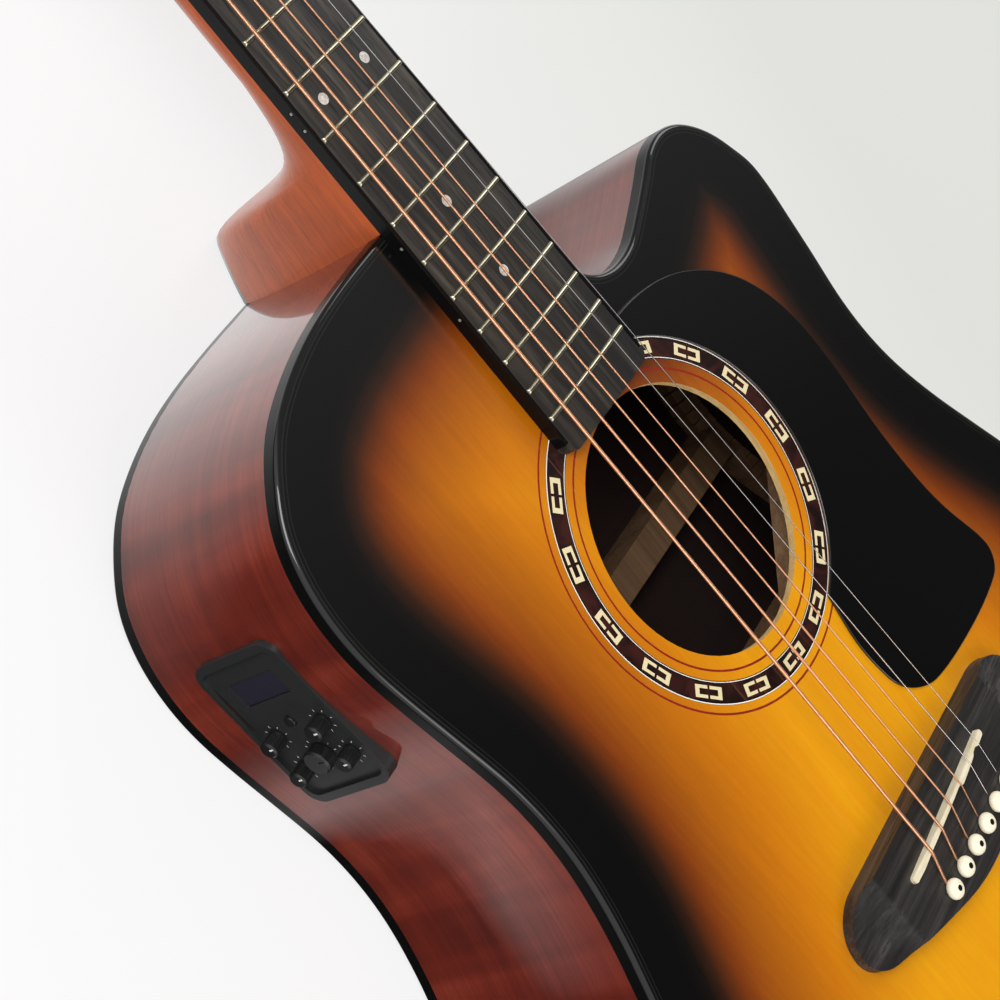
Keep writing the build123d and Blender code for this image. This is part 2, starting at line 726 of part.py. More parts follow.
def nut_slot(i):
    """The groove of string i across the nut, open above the string."""
    saddle, at_nut, stop = string_route(i)[2:]
    before = at_nut + (saddle - at_nut).normalized() * 2 * NUT_T
    after = at_nut + (stop - at_nut).normalized() * 2 * NUT_T
    top = NUT_STRING_Z + 3
    profile = Polyline((before.Y, before.Z), (at_nut.Y, at_nut.Z), (after.Y, after.Z),
                       (after.Y, top), (before.Y, top), close=True)
    above = extrude(Plane.YZ.offset(at_nut.X) * make_face(profile), STRING_D[i] / 2 + 0.1, both=True)
    return string_solid(i, SLOT_GAP) + above


def nut():
    width = board_half(NUT_Y)
    blank = block(-width, width, NUT_Y, NUT_BACK_Y, 0, NUT_STRING_Z + 2) & crowned(NUT_STRING_Z + 0.5)
    for i in range(6):
        blank -= nut_slot(i)
    return blank


# ---------------------------------------------------------------- neck, heel and headstock
def neck_section(y, depth, point):
    """A neck section at y: flat on top, round below, more pointed with a larger point."""
    half = board_half(min(y, NUT_Y))
    steps = 12
    points = []
    for k in range(steps + 1):
        a = pi * k / steps
        reach = abs(cos(a)) ** point * (1 if cos(a) >= 0 else -1)
        points.append((half * reach, y, -depth * sin(a)))
    curve = Spline(*points)
    return Wire([curve.edge(), Line(points[-1], points[0]).edge()])


def neck_depth(y):
    """Depth of the neck at y, and how pointed its section is: a shaft that sweeps into a heel."""
    slope = (NECK_DEPTH_BODY - NECK_DEPTH_NUT) / (NUT_Y - NECK_END_Y)
    shaft = NECK_DEPTH_NUT + slope * (NUT_Y - min(y, NUT_Y))
    beyond = y - NECK_END_Y - HEEL_REACH
    at_front = DEPTH_NECK * 0.69
    if beyond <= 0:
        depth = at_front + DEPTH_NECK * 0.28 * (1 - exp(beyond / 1.7)) - 0.8 * beyond
        return depth, 1.65 - 0.15 * exp(beyond / 4)
    fade = max(0.0, 1 - (beyond / HEEL_SWEEP) ** 2)
    return shaft + (at_front - shaft) / (1 + beyond / 3.2) * fade, 1 + 0.5 / (1 + beyond / 5) * fade


@cache
def neck_loft():
    """The neck without its headstock; the heel runs on below the back, to be cut."""
    behind = (-3.0, 5.0, 12.0, 18.0, 22.0, 24.5, 26.0, 27.2, 28.2, 29.0)
    before = [HEEL_REACH - 32.0] + [b * HEEL_REACH / 29.0 for b in behind[1:]]
    after = [HEEL_REACH + HEEL_SWEEP * (k / 14) ** 2 for k in range(1, 15)]
    places = [NECK_END_Y + b for b in before + after]
    places += [(NUT_Y + places[-1]) / 2, NUT_BACK_Y]
    wires = [neck_section(y, *neck_depth(y)) for y in places]
    return Part(Solid.make_loft(wires, ruled=True).wrapped)


def head_outline():
    right = [(NUT_WIDTH / 2, -4, 90), (NUT_WIDTH / 2 + 0.6, 6, 84), (37, 35, 86),
             (35.5, HEAD_LENGTH - 18, 92), (23, HEAD_LENGTH - 1.5, 172), (0, HEAD_LENGTH, 180)]
    left = [(-x, y, 360 - h) for x, y, h in reversed(right)]
    edges = [b.edge(0) for b in bends(right)] + [b.edge(0) for b in bends(left)]
    return make_face(edges + [Line(left[-1][:2], right[0][:2])])


def post_holes():
    return [HEAD * disc(BUSH_R, -HEAD_T - VENEER_T - 1, 1, x, y) for x, y in POSTS]


@cache
def tenon():
    y0 = NECK_END_Y - TENON_L
    return block(-TENON_W / 2, TENON_W / 2, y0, NECK_END_Y, -DEPTH_NECK + 16, -BINDING_H)


ROD_W = 6.0
ROD_TOP = -1.5
ROD_H = 8.0
ROD_START = 12.0              # end of the rod before the body


def rod_channel():
    return block(-ROD_W / 2, ROD_W / 2, NECK_END_Y + ROD_START, NUT_BACK_Y, ROD_TOP - ROD_H, 0)


def rod_pocket():
    return HEAD * block(-5, 5, -6, 17, -11, 1)


def neck():
    shaft = neck_loft() - body_prism(0, 1) - back_tool(HEEL_CAP_T + HEEL_RAISE)
    head = HEAD * extrude(Pos(0, 0, -VENEER_T) * head_outline(), -HEAD_T)
    head -= block(-100, 100, 0, NUT_BACK_Y, -100, 100)
    solid = shaft + head + tenon() - rod_channel() - rod_pocket()
    return solid - post_holes() - [screw(*place) for place in head_screw_places()] - neck_bolt_solids()


def heel_cap():
    lower = neck_loft() - body_prism(0, 1) - back_tool(HEEL_RAISE)
    return lower - back_keep(HEEL_CAP_T + HEEL_RAISE)


def veneer():
    plate = HEAD * extrude(Pos(0, 0, -VENEER_T) * head_outline(), VENEER_T)
    plate -= block(-100, 100, 0, NUT_BACK_Y, -100, 100)
    return plate - rod_pocket() - post_holes() - [screw(*place) for place in cover_screw_places()]


def truss_rod():
    mid = ROD_TOP - ROD_H / 2
    rod = block(-ROD_W / 2, ROD_W / 2, NECK_END_Y + ROD_START, NUT_Y, ROD_TOP - ROD_H, ROD_TOP)
    y1 = NUT_BACK_Y + 10
    tail = Pos(0, (NUT_Y + y1) / 2, mid) * Rot(90, 0, 0) * Cylinder(2.0, y1 - NUT_Y)
    hex_nut = Pos(0, y1 - 4, mid) * Rot(90, 0, 0) * extrude(RegularPolygon(3.6, 6), 4, both=True)
    return rod + tail + hex_nut


COVER_T = 2.0


def cover_plan():
    return make_face([b.edge(0) for b in bends([
        (5.5, 1, 0), (11.5, 6, 90), (7, 26, 108), (4.5, 38, 92), (0, 42.5, 180), (-4.5, 38, 268),
        (-7, 26, 252), (-11.5, 6, 270), (-5.5, 1, 360)])] + [Line((-5.5, 1), (5.5, 1))])


def cover_screw_places():
    return [(HEAD, x, y, COVER_T, 7.0) for x, y in ((-8.2, 6), (8.2, 6), (0, 38))]


def truss_rod_cover():
    plate = HEAD * extrude(cover_plan(), COVER_T)
    return plate - [screw(*place) for place in cover_screw_places()]


# ---------------------------------------------------------------- screws and bolts
SCREW_R = 1.1
SCREW_HEAD_R = 2.1
SCREW_HEAD_T = 1.2


def screw(plane, x, y, top, length):
    """A small pan-head screw along -Z of plane, its head standing on the height top."""
    head = disc(SCREW_HEAD_R, top, top + SCREW_HEAD_T, x, y)
    slot = block(x - 0.3, x + 0.3, y - 1.5, y + 1.5, top + SCREW_HEAD_T - 0.5, top + SCREW_HEAD_T)
    slots = slot + block(x - 1.5, x + 1.5, y - 0.3, y + 0.3, top + SCREW_HEAD_T - 0.5, top + SCREW_HEAD_T)
    return plane * (head - slots + disc(SCREW_R, top - length, top, x, y))


BEHIND = Plane(origin=HEAD.from_local_coords((0, 0, -HEAD_T - VENEER_T)), x_dir=(-1, 0, 0), z_dir=-HEAD.z_dir)


def lug_screw_places():
    """One screw through each tuner housing's inner lug, into the back of the headstock."""
    return [(BEHIND, -(x - (LUG_REACH - 3.2) * (1 if x > 0 else -1)), y, LUG_T, 9.0) for x, y in POSTS]


def head_screw_places():
    return lug_screw_places() + cover_screw_places()


def small_screws():
    return group([screw(*place) for place in head_screw_places()])


def neck_bolt_solids():
    """Two hexagon bolts through the neck block into the tenon."""
    y_face = NECK_END_Y - SIDE_T - NECK_BLOCK_L
    reach = NECK_END_Y - 4
    solids = []
    for z in (-30, -66):
        head = Pos(0, y_face, z) * Rot(90, 0, 0) * extrude(RegularPolygon(5.5, 6), 5)
        washer = Pos(0, y_face - 0.75, z) * Rot(90, 0, 0) * Cylinder(8.0, 1.5)
        shank = Pos(0, (y_face + reach) / 2, z) * Rot(90, 0, 0) * Cylinder(3.0, reach - y_face)
        solids.append(head + washer + shank)
    return solids


# ---------------------------------------------------------------- tuning machines
GEAR_Z = HOUSING_T / 2        # gear and worm below the headstock's back
WORM_Y = GEAR_R + WORM_R + 0.15
HOUSE_IN = 9.0                # housing from the post, inwards and outwards
HOUSE_OUT = 13.0
LUG_REACH = 15.0
LUG_T = 2.0


def tuner_frame(n):
    """Frame of tuner n on the headstock's back: X outwards, Y along the headstock, Z to the front."""
    x, y = POSTS[n]
    out = 1 if x > 0 else -1
    origin = HEAD.from_local_coords((x, y, -HEAD_T - VENEER_T))
    return Plane(origin=origin, x_dir=(out, 0, 0), z_dir=HEAD.z_dir), out


def mirrored_y(out, y):
    """Keeps the worm on the nut's side of every post."""
    return -y * out


def housing(n):
    frame, out = tuner_frame(n)
    y0, y1 = sorted((mirrored_y(out, -GEAR_R - 2.6), mirrored_y(out, WORM_Y + WORM_R + 1.9)))
    shell = block(-HOUSE_IN, HOUSE_OUT, y0, y1, -HOUSING_T, 0)
    shell = fillet(shell.edges().filter_by(Axis.Z), 2.0)
    shell = fillet(shell.faces().sort_by(Axis.Z)[0].edges(), 1.2)
    lug = block(-LUG_REACH - 2.5, -HOUSE_IN, -4, 4, -LUG_T, 0)
    lug = fillet(lug.edges().filter_by(Axis.Z).group_by(Axis.X)[0], 3.0)
    gear_room = disc(GEAR_R + 0.3, -HOUSING_T + HOUSING_WALL, -HOUSING_WALL)
    worm_y = mirrored_y(out, WORM_Y)
    worm_axis = Pos(0, worm_y, -GEAR_Z) * Rot(0, 90, 0)
    worm_room = worm_axis * Box(2 * WORM_R + 0.6, 2 * WORM_R + 0.6, WORM_L + 2 * END_GAP)
    key_hole = worm_axis * disc(KEY_SHAFT_R + RUN_GAP, 0, HOUSE_OUT + 1)
    post_hole = disc(POST_R + RUN_GAP, -HOUSING_WALL, 0)
    return frame * (shell + lug - gear_room - worm_room - key_hole - post_hole)


def tuner_housings():
    screws = [screw(*place) for place in lug_screw_places()]
    return group([housing(n) - screws[n] for n in range(6)])


def bushing(x, y):
    tube = disc(BUSH_R, -HEAD_T - VENEER_T, 0, x, y)
    head = Pos(x, y, 0) * extrude(RegularPolygon(BUSH_HEAD_R, 6), BUSH_HEAD_T)
    washer = disc(BUSH_HEAD_R + 0.5, 0, 0.6, x, y)
    return HEAD * (tube + head + washer - disc(POST_R + RUN_GAP, -HEAD_T - VENEER_T, BUSH_HEAD_T, x, y))


def post(n):
    """A string post with its gear, and the turns of string on it."""
    x, y = POSTS[n]
    base = -HEAD_T - VENEER_T
    gear_top = base - HOUSING_WALL - END_GAP
    gear_low = base - HOUSING_T + HOUSING_WALL + END_GAP
    shaft = disc(POST_R, gear_low, POST_TOP, x, y)
    waist = annulus(POST_R - 0.5, POST_R + 1, WRAP_Z + 5.5, 6.0)
    gear = disc(GEAR_R, base - GEAR_Z - GEAR_T / 2, base - GEAR_Z + GEAR_T / 2, x, y)
    notch = Pos(GEAR_R, 0, base - GEAR_Z) * Box(1.2, 0.9, GEAR_T)
    teeth = [Pos(x, y, 0) * Rot(0, 0, 360 / GEAR_TEETH * k) * notch for k in range(GEAR_TEETH)]
    collar = disc(POST_R + 1, base - GEAR_Z, gear_top, x, y)
    body = shaft + collar + (gear - teeth) - Pos(x, y, 0) * waist
    r = STRING_D[n] / 2
    turns = 4
    section = [Pos(POST_R - 0.5 + r, WRAP_Z + r + 2 * r * k) * Circle(r) for k in range(turns)]
    core = Pos(POST_R - 0.5 + r / 2, WRAP_Z + r * turns) * Rectangle(r, 2 * r * (turns - 1) + r)
    profile = core
    for circle in section:
        profile += circle
    coil = revolve(Plane.XZ * profile, Axis.Z)
    return group([HEAD * body, HEAD * Pos(x, y, 0) * coil])


def key(n):
    """A tuning button with its shaft and the worm that turns the post."""
    frame, out = tuner_frame(n)
    worm_y = mirrored_y(out, WORM_Y)
    axis = Pos(0, worm_y, -GEAR_Z) * Rot(0, 90, 0)
    worm = Cylinder(WORM_R, WORM_L)
    grooves = [annulus(WORM_R - 0.6, WORM_R + 1, -WORM_L / 2 + 1.5 + 1.5 * k, 0.6) for k in range(5)]
    shaft_end = HOUSE_OUT + KEY_GAP + 4
    shaft = disc(KEY_SHAFT_R, WORM_L / 2, shaft_end)
    collar = disc(KEY_SHAFT_R + 1.4, HOUSE_OUT + END_GAP, HOUSE_OUT + 2)
    middle = HOUSE_OUT + KEY_GAP + BUTTON_L / 2
    plate = extrude(Ellipse(BUTTON_L / 2, BUTTON_W / 2), BUTTON_T / 2, both=True)
    plate = fillet(plate.edges(), 2.6)
    button = Pos(0, 0, middle) * Rot(0, 90, 0) * plate
    return frame * axis * (worm - grooves + shaft + collar + button)


# ---------------------------------------------------------------- preamp in the bass side
def side_point(y):
    """A point of the body's bass edge at y."""
    probe = [b for b in BODY_BENDS if b.end.X < 0 and min(b.start.Y, b.end.Y) <= y <= max(b.start.Y, b.end.Y)
             and b.start.X < -100]
    bend = probe[0]
    reach = sqrt(bend.radius ** 2 - (y - bend.centre.Y) ** 2)
    x = bend.centre.X - reach if bend.radius > 0 else bend.centre.X + reach
    return Vector(x, y)


NEAR = side_point(PREAMP_Y + PREAMP_L / 2)
FAR = side_point(PREAMP_Y - PREAMP_L / 2)
CHORD = (FAR - NEAR).normalized().rotate(Axis.Z, -PREAMP_TURN)
# local X runs towards the tail, local Y up, local Z out of the side
PANEL = Plane(origin=((NEAR.X + FAR.X) / 2, PREAMP_Y, PREAMP_Z), x_dir=(CHORD.X, CHORD.Y, 0),
              z_dir=(CHORD.Y, -CHORD.X, 0))
PLUG_L = PREAMP_L - 2 * PREAMP_LIP
PLUG_H = PREAMP_H - 2 * PREAMP_LIP
PLUG_IN = 5.0                 # bezel's skirt inside the body
PANEL_GAP = 0.15
UNDERSIDE = PREAMP_FLOOR - PREAMP_FLOOR_T
BOARD_TOP = -3.0              # circuit board's front
SKIRT = 1.6


def rounded_slab(length, height, radius, z0, z1):
    return extrude(Pos(0, 0, z0) * RectangleRounded(length, height, radius), z1 - z0)


def preamp_opening():
    return PANEL * rounded_slab(PLUG_L + 2 * PANEL_GAP, PLUG_H + 2 * PANEL_GAP, 3 + PANEL_GAP, -20, 20)


def panel_holes():
    holes = [disc(KNOB_SHAFT_R + RUN_GAP, -5, 5, x, y) for x, y in KNOB_PLACES + (BIG_KNOB_PLACE,)]
    holes.append(disc(SWITCH_R + RUN_GAP, -5, 5, *BUTTON_PLACE))
    holes.append(Pos(*SCREEN_PLACE, 0) * rounded_slab(SCREEN_L, SCREEN_H, SCREEN_CORNER_R, -5, 5))
    return holes


SWITCH_R = 2.2


def preamp_bezel():
    flange = PANEL * rounded_slab(PREAMP_L, PREAMP_H, PREAMP_R, -8, PREAMP_RIM) - body_prism(0, 1)
    plug = PANEL * rounded_slab(PLUG_L, PLUG_H, 3, -PLUG_IN, PREAMP_FLOOR)
    tray = rounded_slab(PREAMP_L - 6.6, PREAMP_H - 4.2, PREAMP_R - 2.5, PREAMP_FLOOR, PREAMP_RIM + 1)
    inner = rounded_slab(PLUG_L - 2 * SKIRT, PLUG_H - 2 * SKIRT, 2, -PLUG_IN - 1, UNDERSIDE)
    return flange + plug - PANEL * (tray + inner) - [PANEL * h for h in panel_holes()]


def box_outside():
    return PANEL * rounded_slab(PLUG_L, PLUG_H, 3, -PREAMP_DEPTH, -PLUG_IN)


def preamp_box():
    inner = rounded_slab(PLUG_L - 2 * SKIRT, PLUG_H - 2 * SKIRT, 2, -PREAMP_DEPTH + SKIRT, -PLUG_IN)
    return box_outside() - PANEL * inner


def preamp_board():
    """Circuit board with its five potentiometers and the switch under the button."""
    board = rounded_slab(PLUG_L - 2 * SKIRT - 0.6, PLUG_H - 2 * SKIRT - 0.6, 2, BOARD_TOP - 1.6, BOARD_TOP)
    for x, y in KNOB_PLACES + (BIG_KNOB_PLACE,):
        pot = block(x - 4.2, x + 4.2, y - 4.2, y + 4.2, BOARD_TOP, UNDERSIDE)
        board += pot - disc(KNOB_SHAFT_R + RUN_GAP, BOARD_TOP + 1, UNDERSIDE, x, y)
    x, y = BUTTON_PLACE
    return PANEL * (board + block(x - 3, x + 3, y - 3, y + 3, BOARD_TOP, BOARD_TOP + 0.5))


def preamp_screen():
    glass = rounded_slab(SCREEN_L, SCREEN_H, SCREEN_CORNER_R, 0, PREAMP_FLOOR - 0.5)
    base = rounded_slab(SCREEN_L + 3, SCREEN_H + 3, SCREEN_CORNER_R, BOARD_TOP, UNDERSIDE)
    return PANEL * Pos(*SCREEN_PLACE, 0) * (glass + base)


def battery():
    floor = -PREAMP_DEPTH + SKIRT
    case = fillet(block(-24, 22.5, -13, 13, floor, floor + 17).edges(), 1.5)
    snaps = disc(3.2, 0, 2.5, 0, 0)
    turned = Rot(0, 90, 0) * snaps
    return PANEL * (case + Pos(22.5, 6.3, floor + 8.5) * turned + Pos(22.5, -6.3, floor + 8.5) * turned)


def knob(place, radius, height):
    """A fluted knob with its D shaft into the potentiometer."""
    x, y = place
    low = PREAMP_FLOOR + 0.4
    cap = disc(radius, low, low + height, x, y)
    cap = chamfer(cap.faces().sort_by(Axis.Z)[-1].edges(), 0.7)
    flutes = [Pos(x, y, 0) * Rot(0, 0, 30 * k) * disc(0.45, low + 1, low + height - 1.2, radius + 0.15, 0)
              for k in range(12)]
    top = low + height
    pointer = block(x - 0.35, x + 0.35, y + radius * 0.3, y + radius * 0.85, top - 0.35, top)
    shaft = disc(KNOB_SHAFT_R, BOARD_TOP + 1.2, low, x, y)
    return PANEL * (cap - flutes - pointer + shaft)


def switch_button():
    x, y = BUTTON_PLACE
    cap = disc(SWITCH_R, BOARD_TOP + 0.5 + SWITCH_TRAVEL + 0.05, PREAMP_FLOOR + 1.2, x, y)
    stop = disc(SWITCH_R + 0.9, UNDERSIDE - 1.0, UNDERSIDE - 0.02, x, y)
    return PANEL * (cap + stop)


# ---------------------------------------------------------------- end pin, output jack and leads
def jack_hole():
    length = SIDE_T + TAIL_BLOCK_L + 4
    return Pos(0, TAIL_Y + length / 2 - 1, JACK_Z) * Rot(90, 0, 0) * Cylinder(JACK_R, length)


def endpin_jack():
    """Strap button and output jack in one: bored right through for a quarter-inch plug."""
    inner_face = TAIL_Y + SIDE_T + TAIL_BLOCK_L
    wall = TAIL_Y
    along = Pos(0, wall, JACK_Z) * Rot(90, 0, 0)
    flange = disc(STRAP_FLANGE_R, 0, 2.5)
    neck_part = disc(STRAP_NECK_R, 2.5, 2.5 + STRAP_NECK_L)
    lip = disc(STRAP_FLANGE_R - 0.5, 2.5 + STRAP_NECK_L, 6.0 + STRAP_NECK_L)
    barrel = disc(JACK_R, wall - inner_face - JACK_INSIDE, 0)
    nut_inside = extrude(Pos(0, 0, wall - inner_face - 3) * RegularPolygon(9.5, 6), 3)
    bore = disc(JACK_BORE_R, wall - inner_face - JACK_INSIDE + 4, 7 + STRAP_NECK_L)
    return along * (flange + neck_part + lip + barrel + nut_inside - bore) - body_shell_clearance()


def body_shell_clearance():
    """What the strap button's flange would share with the curved tail."""
    return body_prism(0, 1) - body_prism(SIDE_T, 2, -1) - jack_hole()


LEAD_R = 1.4
FINE_LEAD_R = 1.0
LEAD_INSET = 8.6              # output lead's centre inside the body's outer face
CLIP_T = 1.4


def pickup_lead_hole():
    """Drilled down through the bridge, soundboard and bridge plate at the saddle's bass end."""
    x = SADDLE_BASS[0] + 6
    return disc(FINE_LEAD_R + 0.3, -TOP_T - PLATE_T - 1, SADDLE_BED, x, saddle_y(x))


def tube(points, radius):
    """A lead along straight runs joined by arcs as large as the runs allow."""
    route = [Vector(*p) for p in points]
    radii = []
    for a, b, c in zip(route, route[1:], route[2:]):
        turn = radians((b - a).get_angle(c - b))
        radii.append(0.45 * min((b - a).length, (c - b).length) / tan(turn / 2))
    path = FilletPolyline(*route, radius=radii)
    print("lead: length %.0f, smallest bend %.0f" % (path.length, min(radii)))
    return sweep(Plane(origin=route[0], z_dir=route[1] - route[0]) * Circle(radius), path=path)


def output_lead():
    """From the preamp's tail end, clipped along the bass side, to the jack's inner end."""
    start = PANEL.from_local_coords((PLUG_L / 2, 0, 0))
    jack_y = TAIL_Y + SIDE_T + TAIL_BLOCK_L + JACK_INSIDE
    along_side = BODY_BENDS[LEAD_BENDS[0]:LEAD_BENDS[1]]
    first, last = along_side[0].edge(LEAD_INSET), along_side[-1].edge(LEAD_INSET)
    top, low = first @ 0, last @ 1
    heading = degrees(atan2((last % 1).Y, (last % 1).X))
    turn_r = 14.0
    to_jack = bends([(low.X, low.Y, heading), (-4.5 * turn_r, jack_y + 8, 28),
                     (-turn_r, jack_y + 7 + turn_r, 0), (0, jack_y + 7, -90)])
    edges = [Line((top.X, start.Y + 3), (top.X, top.Y))] + [b.edge(LEAD_INSET) for b in along_side]
    edges += [b.edge(0) for b in to_jack] + [Line((0, jack_y + 7), (0, jack_y))]
    path = Pos(0, 0, JACK_Z) * Wire(edges)
    print("output lead: length %.0f" % path.length)
    lead = sweep(Plane(origin=path @ 0, z_dir=path % 0) * Circle(LEAD_R), path=path) - box_outside()
    clips = []
    for bend in along_side[1::2]:
        spot = bend.edge(LEAD_INSET) @ 0.5
        ahead = bend.edge(LEAD_INSET) % 0.5
        frame = Plane(origin=(spot.X, spot.Y, JACK_Z), x_dir=(ahead.X, ahead.Y, 0), z_dir=(0, 0, 1))
        arm = frame * block(-3, 3, -LEAD_INSET, LEAD_R + CLIP_T, -LEAD_R - CLIP_T, LEAD_R + CLIP_T)
        clips.append((arm & inside()) - lead)
    return group([lead] + clips)


def pickup_lead():
    """From the strip under the saddle, down through the soundboard and along to the preamp."""
    x = SADDLE_BASS[0] + 6
    y = saddle_y(x)
    finish = PANEL.from_local_coords((PLUG_L / 2, 12, -PREAMP_DEPTH + 8))
    points = [(x, y, SADDLE_BED), (x, y, -18), (x - 12, y + 12, -34), (-74, -112, -40), (-96, -76, -43),
              (-108, -40, -42), (finish.X, finish.Y - 24, finish.Z),
              (finish.X, finish.Y + 1, finish.Z)]
    return tube(points, FINE_LEAD_R) - box_outside()


# ---------------------------------------------------------------- assembly
def place(shape):
    """From the soundboard's frame to the frame in which the guitar lies on its back."""
    return Pos(0, 0, ROW_HEIGHT) * Rot(-degrees(TAPER), 0, 0) * shape


def nodes():
    yield "soundboard", soundboard
    yield "back_plate", back_plate
    yield "side_bass", lambda: side(-1)
    yield "side_treble", lambda: side(1)
    yield "neck_block", neck_block
    yield "tail_block", tail_block
    yield "linings", linings
    yield "x_braces", lambda: group(x_brace_pair())
    yield "top_braces", top_braces
    yield "back_braces", back_braces
    yield "bridge_plate", bridge_plate
    yield "bindings", bindings
    yield "purfling", purfling
    yield "rosette", rosette
    yield "pickguard", pickguard
    yield "bridge", bridge
    yield "saddle", saddle
    yield "bridge_pins", bridge_pins
    yield "pickup_strip", pickup_strip
    yield "neck", neck
    yield "heel_cap", heel_cap
    yield "neck_bolts", lambda: group(neck_bolt_solids())
    yield "truss_rod", truss_rod
    yield "truss_rod_cover", truss_rod_cover
    yield "headstock_veneer", veneer
    yield "fretboard", fretboard
    yield "frets", frets
    yield "fret_markers", fret_markers
    yield "nut", nut
    yield "wound_strings", lambda: strings(range(0, 4))
    yield "plain_strings", lambda: strings(range(4, 6))
    yield "tuner_housings", tuner_housings
    yield "tuner_bushings", lambda: group([bushing(x, y) for x, y in POSTS])
    yield "small_screws", small_screws
    for n in range(6):
        yield f"tuner_post_{6 - n}", lambda n=n: post(n)
        yield f"tuner_key_{6 - n}", lambda n=n: key(n)
    yield "preamp_bezel", preamp_bezel
    yield "preamp_box", preamp_box
    yield "preamp_board", preamp_board
    yield "preamp_screen", preamp_screen
    yield "battery", battery
    for k, spot in enumerate(KNOB_PLACES):
        yield f"tone_knob_{k + 1}", lambda spot=spot: knob(spot, KNOB_R, KNOB_H)
    yield "volume_knob", lambda: knob(BIG_KNOB_PLACE, BIG_KNOB_R, BIG_KNOB_H)
    yield "switch_button", switch_button
    yield "endpin_jack", endpin_jack
    yield "output_lead", output_lead
    yield "pickup_lead", pickup_lead


if __name__ == "__main__":
    os.makedirs("parts", exist_ok=True)
    for name, make in nodes():
        export_step(place(make()), f"parts/{name}.step")
        print(name, flush=True)
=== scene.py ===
"""Looks of the sunburst acoustic-electric guitar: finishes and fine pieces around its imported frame."""
import json
import math

import bmesh
import bpy
import numpy as np
from mathutils import Matrix, Vector

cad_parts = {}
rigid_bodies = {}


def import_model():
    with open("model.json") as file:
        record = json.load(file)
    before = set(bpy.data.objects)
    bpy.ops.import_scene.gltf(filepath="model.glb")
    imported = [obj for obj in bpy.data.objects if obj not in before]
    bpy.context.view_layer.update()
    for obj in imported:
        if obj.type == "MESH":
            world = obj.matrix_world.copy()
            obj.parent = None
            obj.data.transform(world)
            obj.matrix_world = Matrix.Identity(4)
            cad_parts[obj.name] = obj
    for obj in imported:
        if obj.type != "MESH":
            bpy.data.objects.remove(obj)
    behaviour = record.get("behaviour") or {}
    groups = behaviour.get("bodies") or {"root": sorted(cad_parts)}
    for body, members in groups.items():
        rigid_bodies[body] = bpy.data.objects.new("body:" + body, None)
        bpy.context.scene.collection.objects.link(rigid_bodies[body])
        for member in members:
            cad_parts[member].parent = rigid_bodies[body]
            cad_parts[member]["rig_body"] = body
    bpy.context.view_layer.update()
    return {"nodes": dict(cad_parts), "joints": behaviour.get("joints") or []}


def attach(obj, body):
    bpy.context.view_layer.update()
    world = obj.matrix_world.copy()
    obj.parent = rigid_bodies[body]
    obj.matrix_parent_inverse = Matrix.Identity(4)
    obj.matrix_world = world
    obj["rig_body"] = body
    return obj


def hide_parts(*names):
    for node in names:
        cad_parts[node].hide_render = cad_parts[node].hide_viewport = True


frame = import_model()
nodes = frame["nodes"]

# ---------------- sizes, metres
MM = 0.001
BODY_LENGTH = 507.6 * MM
DEPTH_NECK = 98.0 * MM
DEPTH_TAIL = 126.0 * MM
BINDING_W = 2.0 * MM
BINDING_H = 6.5 * MM
SIDE_T = 2.6 * MM
TOP_T = 3.0 * MM
BACK_T = 3.0 * MM
NECK_BLOCK = (-38.0 * MM, 40.0 * MM, 112.0 * MM)      # left, right and lower edge
TAIL_BLOCK = (34.0 * MM, -334.3 * MM)                 # half width and upper edge
LINING_W = 5.5 * MM
LINING_H = 13.0 * MM

SCALE_LENGTH = 648.0 * MM
FRET_COUNT = 20
HOLE_TO_LAST_FRET = 66.15 * MM
NUT_WIDTH = 43.0 * MM
BOARD_END_WIDTH = 58.0 * MM
BOARD_T = 6.0 * MM
BOARD_BINDING_W = 1.6 * MM
CROWN_R = 400.0 * MM
FRET_W = 2.2 * MM
FRET_H = 1.1 * MM
SIDE_DOT_SHARE = 0.6          # of a side dot's bored size that its white face takes

BRIDGE_T = 9.0 * MM
SADDLE_T = 3.2 * MM
SADDLE_TOP = 12.6 * MM
SADDLE_FOOT = 5.4 * MM
SADDLE_ENDS = (Vector((-41.0, -145.0)) * MM, Vector((33.0, -140.2)) * MM)
PIN_Y = -161.7 * MM
PIN_PITCH = 11.2 * MM

BAND_INNER = 59.75 * MM       # the rosette's dark band, between its red and white lines
BAND_OUTER = 66.45 * MM
MOTIF_R = 63.1 * MM
MOTIF_L = 12.6 * MM
MOTIF_W = 4.6 * MM
MOTIF_LINE = 1.2 * MM
MOTIF_GAP = 1.0 * MM
MOTIF_PITCH = math.radians(22.06)
MOTIF_MIDDLE = math.radians(265.0)
MOTIF_COUNT = 15

PANEL_FLOOR = 3.0 * MM        # the preamp's tray above its panel's plane
KNOB_TOP = PANEL_FLOOR + 7.0 * MM
KNOB_R = 3.3 * MM
BIG_KNOB_R = 5.1 * MM
KNOB_X = (3.0 * MM, 17.3 * MM)
KNOB_Y = (13.1 * MM, -12.3 * MM)
KNOB_PLACES = [(x, y) for y in KNOB_Y for x in KNOB_X]
BIG_KNOB_PLACE = (14.6 * MM, 0.2 * MM)

BURST_REACH = 120.0 * MM      # the sprayed colour is pure amber this far in from the edge

SLOPE = (DEPTH_TAIL - DEPTH_NECK) / BODY_LENGTH
TAPER = math.atan(SLOPE)
NUT_Y = HOLE_TO_LAST_FRET + SCALE_LENGTH * (1 - 2 ** (-FRET_COUNT / 12))


def soundboard_height():
    """Height above the back's plane of the soundboard's face at the soundhole."""
    highest = max((v.co for v in nodes["soundboard"].data.vertices), key=lambda point: point.z)
    return highest.z + highest.y * math.tan(TAPER)


